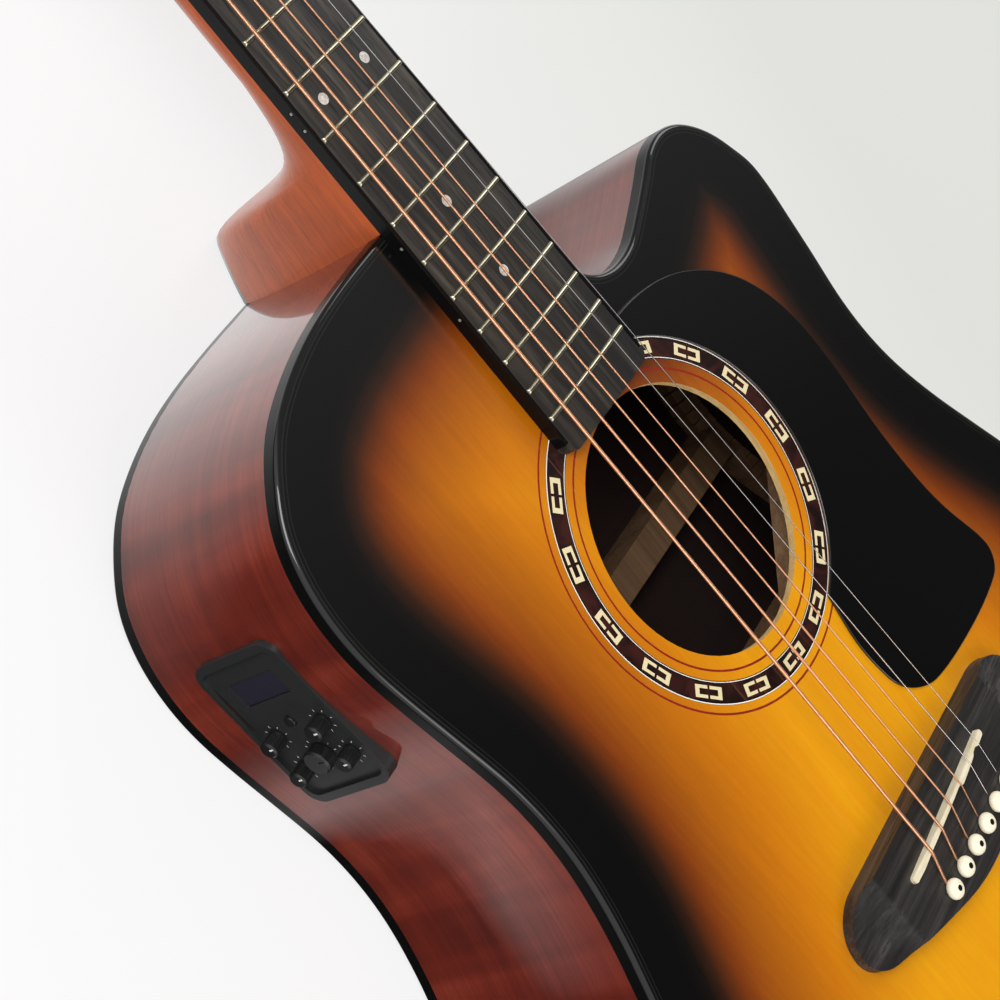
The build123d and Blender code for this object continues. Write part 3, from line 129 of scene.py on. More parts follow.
ROW_HEIGHT = soundboard_height()
DEPTH_HOLE = ROW_HEIGHT / math.cos(TAPER)
LAY = Matrix.Translation((0, 0, ROW_HEIGHT)) @ Matrix.Rotation(-TAPER, 4, "X")
UNLAY = LAY.inverted()


def joint(name):
    return next(j for j in frame["joints"] if j["name"] == name)


def axes(origin, x, y):
    """The matrix of a local frame from its origin and two of its directions."""
    x, y = Vector(x).normalized(), Vector(y).normalized()
    turn = Matrix((x, y, x.cross(y).normalized())).transposed().to_4x4()
    return Matrix.Translation(origin) @ turn


def panel_frame():
    """The preamp's panel: X towards the tail, Y up, Z out of the side, from its knobs' axes."""
    first, second, third = (Vector(joint(f"tone_knob_{k}_turn")["pos_m"]) for k in (1, 2, 3))
    x, y = (second - first).normalized(), (first - third).normalized()
    return axes(first - x * KNOB_X[0] - y * KNOB_Y[0], x, y)


PANEL = panel_frame()


# ---------------- finishes
def tint(code):
    """A six-digit screen colour as linear values."""
    parts = [int(code[k:k + 2], 16) / 255 for k in (0, 2, 4)]
    return tuple(p / 12.92 if p <= 0.04045 else ((p + 0.055) / 1.055) ** 2.4 for p in parts) + (1.0,)


class Nodes:
    """Short calls that build shader nodes in a tree."""

    def __init__(self, tree):
        self.tree = tree

    def node(self, kind, values, **settings):
        made = self.tree.nodes.new("ShaderNode" + kind)
        for key, value in settings.items():
            setattr(made, key, value)
        for key, value in values.items():
            if isinstance(value, bpy.types.NodeSocket):
                self.tree.links.new(value, made.inputs[key])
            else:
                made.inputs[key].default_value = value
        return made

    def place(self, scale=(1, 1, 1), turn=(0, 0, 0), shift=(0, 0, 0)):
        where = self.node("TexCoord", {}).outputs["Object"]
        return self.stretch(where, scale, turn, shift)

    def stretch(self, where, scale, turn=(0, 0, 0), shift=(0, 0, 0)):
        return self.node("Mapping", {"Vector": where, "Scale": scale, "Rotation": turn,
                                     "Location": shift}).outputs["Vector"]

    def noise(self, vector, scale, detail=3.0, rough=0.5, warp=0.0):
        return self.node("TexNoise", {"Vector": vector, "Scale": scale, "Detail": detail,
                                      "Roughness": rough, "Distortion": warp}).outputs["Fac"]

    def sum(self, op, a, b=0.0):
        return self.node("Math", {0: a, 1: b}, operation=op).outputs[0]

    def product(self, *values):
        whole = values[0]
        for value in values[1:]:
            whole = self.sum("MULTIPLY", whole, value)
        return whole

    def span(self, value, low, high, to_low=0.0, to_high=1.0):
        return self.node("MapRange", {"Value": value, "From Min": low, "From Max": high,
                                      "To Min": to_low, "To Max": to_high}).outputs[0]

    def ramp(self, value, stops, steps="LINEAR"):
        made = self.node("ValToRGB", {"Fac": value})
        made.color_ramp.interpolation = steps
        elements = made.color_ramp.elements
        while len(elements) < len(stops):
            elements.new(1.0)
        for element, (place, code) in zip(elements, stops):
            element.position = place
            element.color = tint(code)
        return made.outputs["Color"]

    def mix(self, share, a, b, blend="MIX"):
        return self.node("Mix", {0: share, 6: a, 7: b}, data_type="RGBA", blend_type=blend).outputs[2]

    def attribute(self, name, output="Fac"):
        return self.node("Attribute", {}, attribute_name=name).outputs[output]

    def seen_by(self, *kinds):
        """1 for rays of the named kinds and 0 for all others."""
        path = self.node("LightPath", {}).outputs
        share = path[f"Is {kinds[0]} Ray"]
        for kind in kinds[1:]:
            share = self.sum("MAXIMUM", share, path[f"Is {kind} Ray"])
        return share

    def mix_shaders(self, share, a, b):
        return self.node("MixShader", {0: share, 1: a, 2: b}).outputs[0]


class Finish(Nodes):
    """A material with one Principled shader, whose sockets are set by their names."""

    def __init__(self, name, colour="808080", **sockets):
        self.material = bpy.data.materials.new(name)
        self.material.use_nodes = True
        super().__init__(self.material.node_tree)
        self.shader = self.tree.nodes["Principled BSDF"]
        self.shader.inputs["Base Color"].default_value = tint(colour)
        for key, value in sockets.items():
            self.shader.inputs[key.replace("_", " ").title().replace("Ior", "IOR")].default_value = value

    def put(self, key, value):
        self.tree.links.new(value, self.shader.inputs[key])

    def bump(self, height, distance, strength=1.0):
        made = self.node("Bump", {"Height": height, "Distance": distance, "Strength": strength})
        self.put("Normal", made.outputs["Normal"])


LACQUER = {"roughness": 0.35, "specular_ior_level": 0.1, "coat_weight": 1.0, "coat_roughness": 0.03}
RED_BROWN = ("4a120a", "6a2012", "863220")


def spruce_grain(f, turn):
    """Fine year lines along Y with slower streaks, swinging about zero."""
    fine = f.noise(f.place((1, 0.012, 1), turn), 620, 3, 0.6)
    streak = f.noise(f.place((1, 0.03, 1), turn), 90, 3, 0.5)
    return f.sum("ADD", f.span(fine, 0.3, 0.7, -0.5, 0.5), f.span(streak, 0.3, 0.7, -0.5, 0.5))


def sunburst_lacquer():
    """Amber spruce under clear lacquer, sprayed brown and then black towards the edge."""
    f = Finish("sunburst_lacquer", **{**LACQUER, "coat_roughness": 0.16})
    inset = f.attribute("edge_distance")
    uneven = f.noise(f.place(), 9.0, 1)
    share = f.span(f.sum("ADD", inset, f.span(uneven, 0.3, 0.7, -1.5 * MM, 1.5 * MM)), 0, BURST_REACH)
    spray = f.ramp(share, [(0.15, "080707"), (0.20, "120d0a"), (0.245, "341b0e"), (0.29, "602c0c"),
                           (0.335, "823a0a"), (0.385, "984a0a"), (0.45, "aa5a08"), (0.54, "bc6804"),
                           (0.68, "d07c02"), (1.0, "eba604")])
    flecks = f.noise(f.place((1, 0.2, 1)), 240, 2, 0.5, 1.0)
    grain = f.sum("ADD", spruce_grain(f, (TAPER, 0, 0)), f.span(flecks, 0.35, 0.65, -0.2, 0.2))
    lines = f.ramp(f.span(grain, -0.8, 0.8), [(0.0, "4c4038"), (0.5, "808080"), (1.0, "b0a890")])
    f.put("Base Color", f.mix(0.22, spray, lines, "OVERLAY"))
    return f.material


def bare_spruce(name, light, dark):
    f = Finish(name, roughness=0.75)
    grain = spruce_grain(f, (TAPER, 0, 0))
    f.put("Base Color", f.ramp(f.span(grain, -0.8, 0.8), [(0.1, dark), (0.9, light)]))
    f.bump(grain, 0.1 * MM)
    return f.material


def mahogany_colour(f, where, tones, line="330d07", figure=1.0):
    """Ribbon figure across the grain, streaks along it and open pores, grain along the first axis."""
    ribbon = f.noise(f.stretch(where, (55, 5, 5)), 1.0, 2, 0.4, 0.6)
    cloud = f.noise(f.stretch(where, (11, 17, 17)), 1.0, 2)
    streaks = f.noise(f.stretch(where, (5, 130, 130)), 1.0, 3, 0.6)
    lines = f.noise(f.stretch(where, (16, 700, 700)), 1.0, 4, 0.65)
    pores = f.noise(f.stretch(where, (120, 1900, 1900)), 1.0, 2)
    tone = f.sum("ADD", f.span(ribbon, 0.35, 0.65, 0, 0.42 * figure), f.span(cloud, 0.3, 0.7, 0, 0.3))
    tone = f.sum("ADD", tone, f.span(streaks, 0.3, 0.7, 0, 0.28))
    colour = f.ramp(tone, list(zip((0.05, 0.5, 0.95), tones)))
    colour = f.mix(f.span(lines, 0.42, 0.72, 0, 0.4), colour, tint(line))
    return f.mix(f.span(pores, 0.62, 0.70, 0, 0.45), colour, tint(line))


def side_mahogany():
    """Red-brown lacquered mahogany whose grain runs round the body's outline."""
    f = Finish("side_mahogany", **LACQUER)
    f.put("Base Color", mahogany_colour(f, f.attribute("grain_place", "Vector"), RED_BROWN))
    return f.material


def back_mahogany():
    """The same wood on the back, opened like a book about its centre line."""
    f = Finish("back_mahogany", **LACQUER)
    split = f.node("SeparateXYZ", {"Vector": f.place()}).outputs
    mirrored = f.sum("ABSOLUTE", split["X"])
    where = f.node("CombineXYZ", {"X": split["Y"], "Y": mirrored, "Z": split["Z"]}).outputs[0]
    colour = mahogany_colour(f, where, RED_BROWN, figure=0.7)
    f.put("Base Color", f.mix(f.span(mirrored, 0.9 * MM, 1.1 * MM, 1, 0), colour, tint("1a0d08")))
    return f.material


def neck_mahogany():
    """Orange-brown lacquered mahogany, straight-grained along the neck."""
    f = Finish("neck_mahogany", **{**LACQUER, "coat_weight": 0.38})
    split = f.node("SeparateXYZ", {"Vector": f.place()}).outputs
    where = f.node("CombineXYZ", {"X": split["Y"], "Y": split["X"], "Z": split["Z"]}).outputs[0]
    tones = ("98420c", "b65010", "c86018")
    f.put("Base Color", mahogany_colour(f, where, tones, "5a2410", 0.35))
    return f.material


def raw_mahogany_in_shade():
    """Dull mahogany for the inside of the body and its blocks, its tones darkened to stand in for the shade
    inside the body: painted shade.
    """
    f = Finish("raw_mahogany_in_shade", roughness=0.8)
    # painted shade: tones far darker than the bare wood, for the dimness inside the body
    tones = ("190b08", "24100b", "30170f")
    f.put("Base Color", mahogany_colour(f, f.place(), tones, "100705", 0.5))
    return f.material


def rosewood(name, tones, turn=0.0):
    """Dark streaky rosewood with open pores, its grain along Y before it is turned about Z."""
    f = Finish(name)
    where = f.place((1, 1, 1), (0, 0, turn))
    wavy = f.noise(f.stretch(where, (1, 0.03, 1)), 210, 4, 0.62, 0.3)
    fine = f.noise(f.stretch(where, (1, 0.03, 1)), 950, 3, 0.6)
    colour = f.ramp(wavy, list(zip((0.30, 0.46, 0.58, 0.72), tones)))
    pore = f.span(fine, 0.52, 0.66)
    f.put("Base Color", f.mix(pore, colour, tint("0b0807")))
    f.put("Roughness", f.span(pore, 0, 1, 0.42, 0.7))
    f.bump(f.sum("ADD", fine, wavy), 0.12 * MM, 0.6)
    return f.material


def moulded(name, colour, rough, grain=0.0, **sockets):
    """Moulded plastic with a slight unevenness in its tone and skin."""
    f = Finish(name, colour, roughness=rough, **sockets)
    speck = f.noise(f.place(), 1500 if grain else 60, 2)
    uneven = f.mix(f.span(speck, 0.35, 0.65, 0, 0.25), tint(colour), (0.5, 0.5, 0.5, 1), "SOFT_LIGHT")
    f.put("Base Color", uneven)
    if grain:
        f.bump(speck, grain)
    return f.material


def metal(name, colour, rough, stretch=(1, 1, 1)):
    """Metal whose polish varies a little, drawn out along the short side of stretch."""
    spread = 0.08
    f = Finish(name, colour, metallic=1.0, roughness=rough)
    rub = f.noise(f.place(stretch), 400, 3)
    f.put("Roughness", f.span(rub, 0.3, 0.7, max(rough - spread, 0.03), rough + spread))
    return f.material


def wound_bronze():
    """Phosphor bronze wound close round a string's core: fine ridges across its length, each crest painted
    lighter and each groove darker, painted highlight and shade.
    """
    f = Finish("wound_bronze", "e08a4c", metallic=1.0, roughness=0.28)
    pitch = 0.42 * MM
    along = f.node("SeparateXYZ", {"Vector": f.place()}).outputs["Y"]
    ridge = f.sum("SINE", f.sum("MULTIPLY", along, 2 * math.pi / pitch))
    # painted highlight and shade: the colour follows the ridge, light on each crest and dark in each groove
    f.put("Base Color", f.mix(f.span(ridge, -1, 1), tint("bc7a56"), tint("f8c29c")))
    f.bump(ridge, 0.04 * MM)
    return f.material


def polished_bone():
    f = Finish("saddle_bone", "efe6cc", roughness=0.28, specular_ior_level=0.5)
    fibre = f.noise(f.place((0.12, 1, 1)), 900, 3)
    f.put("Base Color", f.ramp(fibre, [(0.3, "ded0aa"), (0.7, "efe6cc")]))
    return f.material


def rosette_inlay():
    """The rosette by radius: red line, black-edged white line, dark band, and the same outwards."""
    f = Finish("rosette_inlay", **LACQUER)
    down = (0, math.sin(TAPER) * ROW_HEIGHT, -math.cos(TAPER) * ROW_HEIGHT)
    flat = f.stretch(f.place((1, 1, 1), (TAPER, 0, 0), down), (1, 1, 0))
    radius = f.node("VectorMath", {0: flat}, operation="LENGTH").outputs["Value"]
    blotch = f.noise(flat, 95, 2, 0.5, 0.8)
    band = f.ramp(blotch, [(0.38, "1c0e0d"), (0.5, "2c1411"), (0.62, "3c1a15")])
    lines = f.ramp(f.span(radius, 50 * MM, 75 * MM), [
        (0.0, "8c2216"), (0.30, "050404"), (0.364, "f4f2ea"), (0.376, "050404"), (0.39, "000000"),
        (0.658, "050404"), (0.672, "f4f2ea"), (0.690, "050404"), (0.75, "8c2216")], "CONSTANT")
    in_band = f.product(f.sum("GREATER_THAN", radius, BAND_INNER), f.sum("LESS_THAN", radius, BAND_OUTER))
    f.put("Base Color", f.mix(in_band, lines, band))
    return f.material


def pearl():
    f = Finish("dot_pearl", "cfc8c0", roughness=0.2, coat_weight=0.5, coat_roughness=0.05)
    cloud = f.noise(f.place(), 900, 2, 0.5, 1.5)
    f.put("Base Color", f.ramp(cloud, [(0.35, "b8aca4"), (0.55, "cfc8c0"), (0.7, "e2ddd2")]))
    return f.material


# ---------------- meshes
def add_piece(mesh, looks, body="guitar", stands_for=None):
    """Puts a mesh in the scene as a finished piece of the same name, riding on a body."""
    piece = bpy.data.objects.new(mesh.name, mesh)
    bpy.context.scene.collection.objects.link(piece)
    looks = looks if isinstance(looks, list) else [looks]
    while len(mesh.materials) < len(looks):
        mesh.materials.append(None)
    for index, look in enumerate(looks):
        mesh.materials[index] = look
    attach(piece, body)
    if stands_for:
        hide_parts(stands_for)


def merged(node, into=None):
    """A node's shape as one joined mesh, in the local frame into."""
    bm = bmesh.new()
    bm.from_mesh(nodes[node].data)
    bmesh.ops.remove_doubles(bm, verts=bm.verts, dist=2e-6)
    if into is not None:
        bm.transform(into)
    bm.normal_update()
    return bm


def smooth_by_angle(bm, degrees=32):
    for face in bm.faces:
        face.smooth = True
    for edge in bm.edges:
        edge.smooth = len(edge.link_faces) == 2 and edge.calc_face_angle(0) < math.radians(degrees)


def to_mesh(bm, name, out=None):
    if out is not None:
        bm.transform(out)
    mesh = bpy.data.meshes.new(name)
    bm.to_mesh(mesh)
    bm.free()
    if "custom_normal" in mesh.attributes:
        mesh.attributes.remove(mesh.attributes["custom_normal"])
    return mesh


def applied(name, mesh, add_modifiers):
    """The mesh as its modifiers leave it, under a name."""
    shell = bpy.data.objects.new(mesh.name + "_shell", mesh)
    bpy.context.scene.collection.objects.link(shell)
    add_modifiers(shell)
    graph = bpy.context.evaluated_depsgraph_get()
    result = bpy.data.meshes.new_from_object(shell.evaluated_get(graph))
    bpy.data.objects.remove(shell)
    bpy.data.meshes.remove(mesh)
    result.name = name
    return result


def eased(bm, name, width, segments=2):
    """The mesh with its sharp edges rounded over and its flats kept flat."""
    bmesh.ops.dissolve_limit(bm, angle_limit=math.radians(0.4), verts=bm.verts, edges=bm.edges)
    smooth_by_angle(bm)

    def modify(shell):
        bevel = shell.modifiers.new("eased", "BEVEL")
        bevel.width = width
        bevel.segments = segments
        bevel.limit_method = "ANGLE"
        bevel.angle_limit = math.radians(35)
        bevel.miter_outer = "MITER_ARC"
        shell.modifiers.new("flats", "WEIGHTED_NORMAL").keep_sharp = True

    return applied(name, to_mesh(bm, name + "_seed"), modify)


def stand_in(node, mesh, looks):
    """Puts a mesh in place of a node, on the node's body."""
    add_piece(mesh, looks, nodes[node]["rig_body"], stands_for=node)


def smooth_copy(node, look, degrees=32):
    """The node's own shape with its curved faces shaded smooth."""
    bm = merged(node)
    smooth_by_angle(bm, degrees)
    stand_in(node, to_mesh(bm, node + "_finished"), look)


def eased_copy(node, look, width, segments=2):
    """The node's own shape with its edges rounded over."""
    stand_in(node, eased(merged(node), node + "_finished", width, segments), look)


def islands(bm):
    """The mesh's separate shells, each as a set of faces."""
    left, shells = set(bm.faces), []
    while left:
        stack, shell = [left.pop()], set()
        while stack:
            face = stack.pop()
            shell.add(face)
            near = {f for edge in face.edges for f in edge.link_faces} & left
            left -= near
            stack += near
        shells.append(shell)
    return shells


def skin(bm, rows):
    """Faces between each closed row of corners and the next."""
    for row, after in zip(rows, rows[1:]):
        for k in range(len(row)):
            j = (k + 1) % len(row)
            corners = [row[k], row[j], after[j], after[k]]
            bm.faces.new([v for n, v in enumerate(corners) if v not in corners[:n]])


def cap(bm, rows):
    bm.faces.new(rows[0])
    bm.faces.new(rows[-1])


def finish_skin(bm, degrees):
    """Turns the faces outwards and shades them smooth up to an angle."""
    bmesh.ops.recalc_face_normals(bm, faces=bm.faces)
    smooth_by_angle(bm, degrees)


def lathe(profile, count=32):
    """A turned shape about Z from (radius, height) points, closed on the axis at both ends."""
    bm = bmesh.new()
    rings = []
    for radius, height in profile:
        if radius == 0:
            rings.append([bm.verts.new((0, 0, height))] * count)
        else:
            rings.append([bm.verts.new((radius * math.cos(2 * math.pi * k / count),
                                        radius * math.sin(2 * math.pi * k / count), height))
                          for k in range(count)])
    skin(bm, rings)
    finish_skin(bm, 50)
    return bm


def add_block(bm, low, high):
    """A box between two corners."""
    made = bmesh.ops.create_cube(bm, size=1.0)["verts"]
    low, high = Vector(low), Vector(high)
    for v in made:
        v.co = Vector([(low[i] + high[i]) / 2 + v.co[i] * (high[i] - low[i]) for i in range(3)])


# ---------------- geometry trees
class Tree:
    """A geometry tree with named inputs; add() places a node and returns one of its outputs."""

    def __init__(self, name, **inputs):
        self.group = bpy.data.node_groups.new(name, "GeometryNodeTree")
        face = self.group.interface
        face.new_socket("Geometry", in_out="INPUT", socket_type="NodeSocketGeometry")
        for label, kind in inputs.items():
            face.new_socket(label, in_out="INPUT", socket_type="NodeSocket" + kind)
        face.new_socket("Geometry", in_out="OUTPUT", socket_type="NodeSocketGeometry")
        self.given = self.group.nodes.new("NodeGroupInput").outputs

    def add(self, kind, values, output=0, **settings):
        made = self.group.nodes.new(kind)
        for key, value in settings.items():
            setattr(made, key, value)
        for key, value in values.items():
            if isinstance(value, bpy.types.NodeSocket):
                self.group.links.new(value, made.inputs[key])
            else:
                made.inputs[key].default_value = value
        return made.outputs[output]

    def sum(self, op, a, b=0.0, c=0.0):
        return self.add("ShaderNodeMath", {0: a, 1: b, 2: c}, operation=op)

    def vector(self, x=0.0, y=0.0, z=0.0):
        return self.add("ShaderNodeCombineXYZ", {0: x, 1: y, 2: z})

    def points(self, count):
        line = self.add("GeometryNodeMeshLine", {"Count": count, "Offset": (0, 0, 0)}, mode="OFFSET")
        return line, self.add("GeometryNodeInputIndex", {})

    def end(self, geometry):
        """Realizes the instances and gives them their material."""
        real = self.add("GeometryNodeRealizeInstances", {"Geometry": geometry})
        done = self.add("GeometryNodeSetMaterial", {"Geometry": real, "Material": self.given["Material"]})
        out = self.group.nodes.new("NodeGroupOutput")
        self.group.links.new(done, out.inputs[0])


def grown(tree, name, seed, **values):
    """The mesh that a geometry tree makes from the seed mesh and the given sizes."""
    keys = {s.name: s.identifier for s in tree.group.interface.items_tree if s.in_out == "INPUT"}

    def modify(shell):
        modifier = shell.modifiers.new("tree", "NODES")
        modifier.node_group = tree.group
        for label, value in values.items():
            modifier[keys[label]] = value

    return applied(name, seed, modify)


def ring_tree():
    """Copies the given shape round Z, each turned with its place."""
    t = Tree("ring_of_pieces", Count="Int", Radius="Float", First="Float", Pitch="Float",
             Material="Material")
    points, index = t.points(t.given["Count"])
    angle = t.sum("MULTIPLY_ADD", index, t.given["Pitch"], t.given["First"])
    x = t.sum("MULTIPLY", t.sum("COSINE", angle), t.given["Radius"])
    y = t.sum("MULTIPLY", t.sum("SINE", angle), t.given["Radius"])
    placed = t.add("GeometryNodeSetPosition", {"Geometry": points, "Position": t.vector(x, y)})
    turn = t.add("FunctionNodeEulerToRotation", {0: t.vector(z=angle)})
    t.end(t.add("GeometryNodeInstanceOnPoints", {"Points": placed, "Instance": t.given["Geometry"],
                                                 "Rotation": turn}))
    return t


def row_tree():
    """Copies the given shape in a straight row, centred on its own place."""
    t = Tree("row_of_pieces", Count="Int", Pitch="Float", Material="Material")
    points, index = t.points(t.given["Count"])
    middle = t.sum("MULTIPLY_ADD", t.given["Count"], 0.5, -0.5)
    x = t.sum("MULTIPLY", t.sum("SUBTRACT", index, middle), t.given["Pitch"])
    placed = t.add("GeometryNodeSetPosition", {"Geometry": points, "Position": t.vector(x)})
    t.end(t.add("GeometryNodeInstanceOnPoints", {"Points": placed, "Instance": t.given["Geometry"]}))
    return t


def fret_tree():
    """Copies a unit bead to each fret's tempered place, as wide as the board, then crowns it."""
    t = Tree("fret_row", Count="Int", Scale="Float", Nut_Place="Float", Nut_Half="Float", Widening="Float",
             Bead_Half="Float", Bead_Height="Float", Crown="Float", Material="Material")
    points, index = t.points(t.given["Count"])
    octaves = t.sum("DIVIDE", t.sum("ADD", index, 1.0), -12.0)
    reach = t.sum("MULTIPLY", t.sum("SUBTRACT", 1.0, t.sum("POWER", 2.0, octaves)), t.given["Scale"])
    y = t.sum("SUBTRACT", t.given["Nut_Place"], reach)
    placed = t.add("GeometryNodeSetPosition", {"Geometry": points, "Position": t.vector(0.0, y)})
    half = t.sum("MULTIPLY_ADD", reach, t.given["Widening"], t.given["Nut_Half"])
    size = t.vector(half, t.given["Bead_Half"], t.given["Bead_Height"])
    beads = t.add("GeometryNodeInstanceOnPoints", {"Points": placed, "Instance": t.given["Geometry"],
                                                   "Scale": size})
    real = t.add("GeometryNodeRealizeInstances", {"Geometry": beads})
    x = t.add("ShaderNodeSeparateXYZ", {0: t.add("GeometryNodeInputPosition", {})})
    drop = t.sum("DIVIDE", t.sum("MULTIPLY", x, x), t.sum("MULTIPLY", t.given["Crown"], -2.0))
    t.end(t.add("GeometryNodeSetPosition", {"Geometry": real, "Offset": t.vector(0.0, 0.0, drop)}))
    return t


def kerf_tree():
    """Sets wedge-shaped blocks side by side along the seed's line, as a kerfed lining has."""
    t = Tree("kerfed_row", Spacing="Float", Block="Vector", Lean="Float", Material="Material")
    curve = t.add("GeometryNodeMeshToCurve", {"Mesh": t.given["Geometry"]})
    even = t.add("GeometryNodeResampleCurve", {"Curve": curve, "Length": t.given["Spacing"]}, mode="LENGTH")
    block = t.add("GeometryNodeMeshCube", {"Size": t.given["Block"]})
    split = t.group.nodes.new("ShaderNodeSeparateXYZ")
    t.group.links.new(t.add("GeometryNodeInputPosition", {}), split.inputs[0])
    inner = t.add("FunctionNodeCompare", {0: split.outputs["Y"], 1: 0.0}, operation="GREATER_THAN")
    side = t.sum("MULTIPLY", split.outputs["Z"], t.given["Lean"])
    low = t.add("FunctionNodeCompare", {0: side, 1: 0.0}, operation="LESS_THAN")
    both = t.add("FunctionNodeBooleanMath", {0: inner, 1: low})
    wedge = t.add("GeometryNodeSetPosition", {"Geometry": block, "Selection": both,
                                              "Offset": t.vector(0.0, 0.0, t.given["Lean"])})
    tangent = t.add("GeometryNodeInputTangent", {})
    turn = t.add("FunctionNodeAlignRotationToVector", {"Vector": tangent}, axis="X", pivot_axis="Z")
    t.end(t.add("GeometryNodeInstanceOnPoints", {"Points": even, "Instance": wedge, "Rotation": turn}))
    return t


# ---------------- the body's outline
def closed_loops(bm, accept):
    """Closed chains of the edges that accept takes, each as a list of points."""
    edges = {e for e in bm.edges if accept(e)}
    loops = []
    while edges:
        edge = edges.pop()
        first, here = edge.verts
        chain = [first, here]
        while here is not first:
            follow = next((e for e in here.link_edges if e in edges), None)
            if follow is None:
                break
            edges.discard(follow)
            here = follow.other_vert(here)
            chain.append(here)
        loops.append([v.co.copy() for v in chain[:-1]])
    return loops


def body_rail(count=900):
    """The body's edge on the soundboard's plane: even points from the neck on, and the ways out."""
    bm = merged("bindings", UNLAY)
    flat = 0.02 * MM

    def on_top(edge):
        ups = [abs(f.normal.z) > 0.9 for f in edge.link_faces]
        return sum(ups) == 1 and all(abs(v.co.z) < flat for v in edge.verts)

    loops = closed_loops(bm, on_top)
    bm.free()
    loop = max(loops, key=lambda points: max(p.x for p in points) - min(p.x for p in points))
    knots = np.array([(p.x, p.y) for p in loop])
    ahead = np.roll(knots, -1, 0)
    if np.sum(knots[:, 0] * ahead[:, 1] - ahead[:, 0] * knots[:, 1]) < 0:
        knots = knots[::-1]
    start = np.argmin(np.abs(knots[:, 0]) + 10 * (knots[:, 1].max() - knots[:, 1]))
    knots = np.roll(knots, -start, 0)
    ahead = np.roll(knots, -1, 0)
    steps = np.linalg.norm(ahead - knots, axis=1)
    at = np.concatenate([[0], np.cumsum(steps)])
    tangents = (ahead - np.roll(knots, 1, 0)) / (steps + np.roll(steps, 1))[:, None]
    wanted = np.linspace(0, at[-1], count, endpoint=False)
    k = np.clip(np.searchsorted(at, wanted, side="right") - 1, 0, len(knots) - 1)
    h = steps[k][:, None]
    t = ((wanted - at[k]) / steps[k])[:, None]
    p0, p1 = knots[k], ahead[k]
    m0, m1 = tangents[k] * h, np.roll(tangents, -1, 0)[k] * h
    points = ((2 * t**3 - 3 * t**2 + 1) * p0 + (t**3 - 2 * t**2 + t) * m0
              + (3 * t**2 - 2 * t**3) * p1 + (t**3 - t**2) * m1)
    along = np.roll(points, -1, 0) - np.roll(points, 1, 0)
    along /= np.linalg.norm(along, axis=1)[:, None]
    return points, np.stack([along[:, 1], -along[:, 0]], 1)


RAIL, RAIL_OUT = body_rail()
RAIL_STEP = float(np.linalg.norm(np.roll(RAIL, -1, 0) - RAIL, axis=1).mean())


def on_rail(points):
    """For flat points: distance from the body's edge, and how far along the edge they lie."""
    steps = np.roll(RAIL, -1, 0) - RAIL
    gaps, along = [], []
    for part in np.array_split(points, len(points) // 2000 + 1):
        part = part[:, None, :]
        t = np.clip(np.sum((part - RAIL) * steps, 2) / np.sum(steps * steps, 1), 0, 1)
        gap = np.linalg.norm(part - (RAIL + t[..., None] * steps), axis=2)
        best = gap.argmin(1)
        rows = np.arange(len(best))
        gaps.append(gap[rows, best])
        along.append((best + t[rows, best]) * RAIL_STEP)
    return np.concatenate(gaps), np.concatenate(along)


def back_height(y):
    """The back's outer plane in the soundboard's frame."""
    return SLOPE * y - DEPTH_HOLE


def ring_mesh(profile, on_back):
    """A closed profile of (outward, up) points swept round the top's or, turned over, the back's edge."""
    bm = bmesh.new()
    rows = []
    for (x, y), (nx, ny) in zip(RAIL, RAIL_OUT):
        row = [(x + nx * out, y + ny * out, up) for out, up in profile]
        if on_back:
            row = [(px, py, back_height(py) - up) for px, py, up in row]
        rows.append([bm.verts.new(point) for point in row])
    skin(bm, rows + rows[:1])
    finish_skin(bm, 180)
    return bm


def joined(name, parts):
    """One mesh from (mesh, matrix) pairs."""
    bm = bmesh.new()
    for mesh, matrix in parts:
        first = len(bm.verts)
        bm.from_mesh(mesh)
        bm.verts.ensure_lookup_table()
        bmesh.ops.transform(bm, matrix=matrix, verts=bm.verts[first:])
    return to_mesh(bm, name)


# ---------------- the body
def soundboard_face():
    """The soundboard cut into small cells, whose corners store how far they are from the edge."""
    bm = merged("soundboard", UNLAY)
    cell = 7.0 * MM
    for axis in range(2):
        normal = Vector((1 - axis, axis, 0))
        low = min(v.co[axis] for v in bm.verts)
        high = max(v.co[axis] for v in bm.verts)
        for k in range(1, int((high - low) / cell)):
            everything = bm.verts[:] + bm.edges[:] + bm.faces[:]
            bmesh.ops.bisect_plane(bm, geom=everything, plane_co=normal * (low + k * cell),
                                   plane_no=normal, dist=1e-6)
    for face in bm.faces:
        on_top = face.normal.z > 0.9 and face.calc_center_median().z > -0.5 * MM
        face.material_index = 0 if on_top else 1
    points = np.array([(v.co.x, v.co.y) for v in bm.verts])
    smooth_by_angle(bm, 20)
    mesh = to_mesh(bm, "soundboard_face", LAY)
    spread = mesh.attributes.new("edge_distance", "FLOAT", "POINT")
    spread.data.foreach_set("value", on_rail(points)[0].astype(np.float32))
    cut_edge = bare_spruce("cut_spruce", "f0cc8c", "d8ac68")
    stand_in("soundboard", mesh, [sunburst_lacquer(), cut_edge])


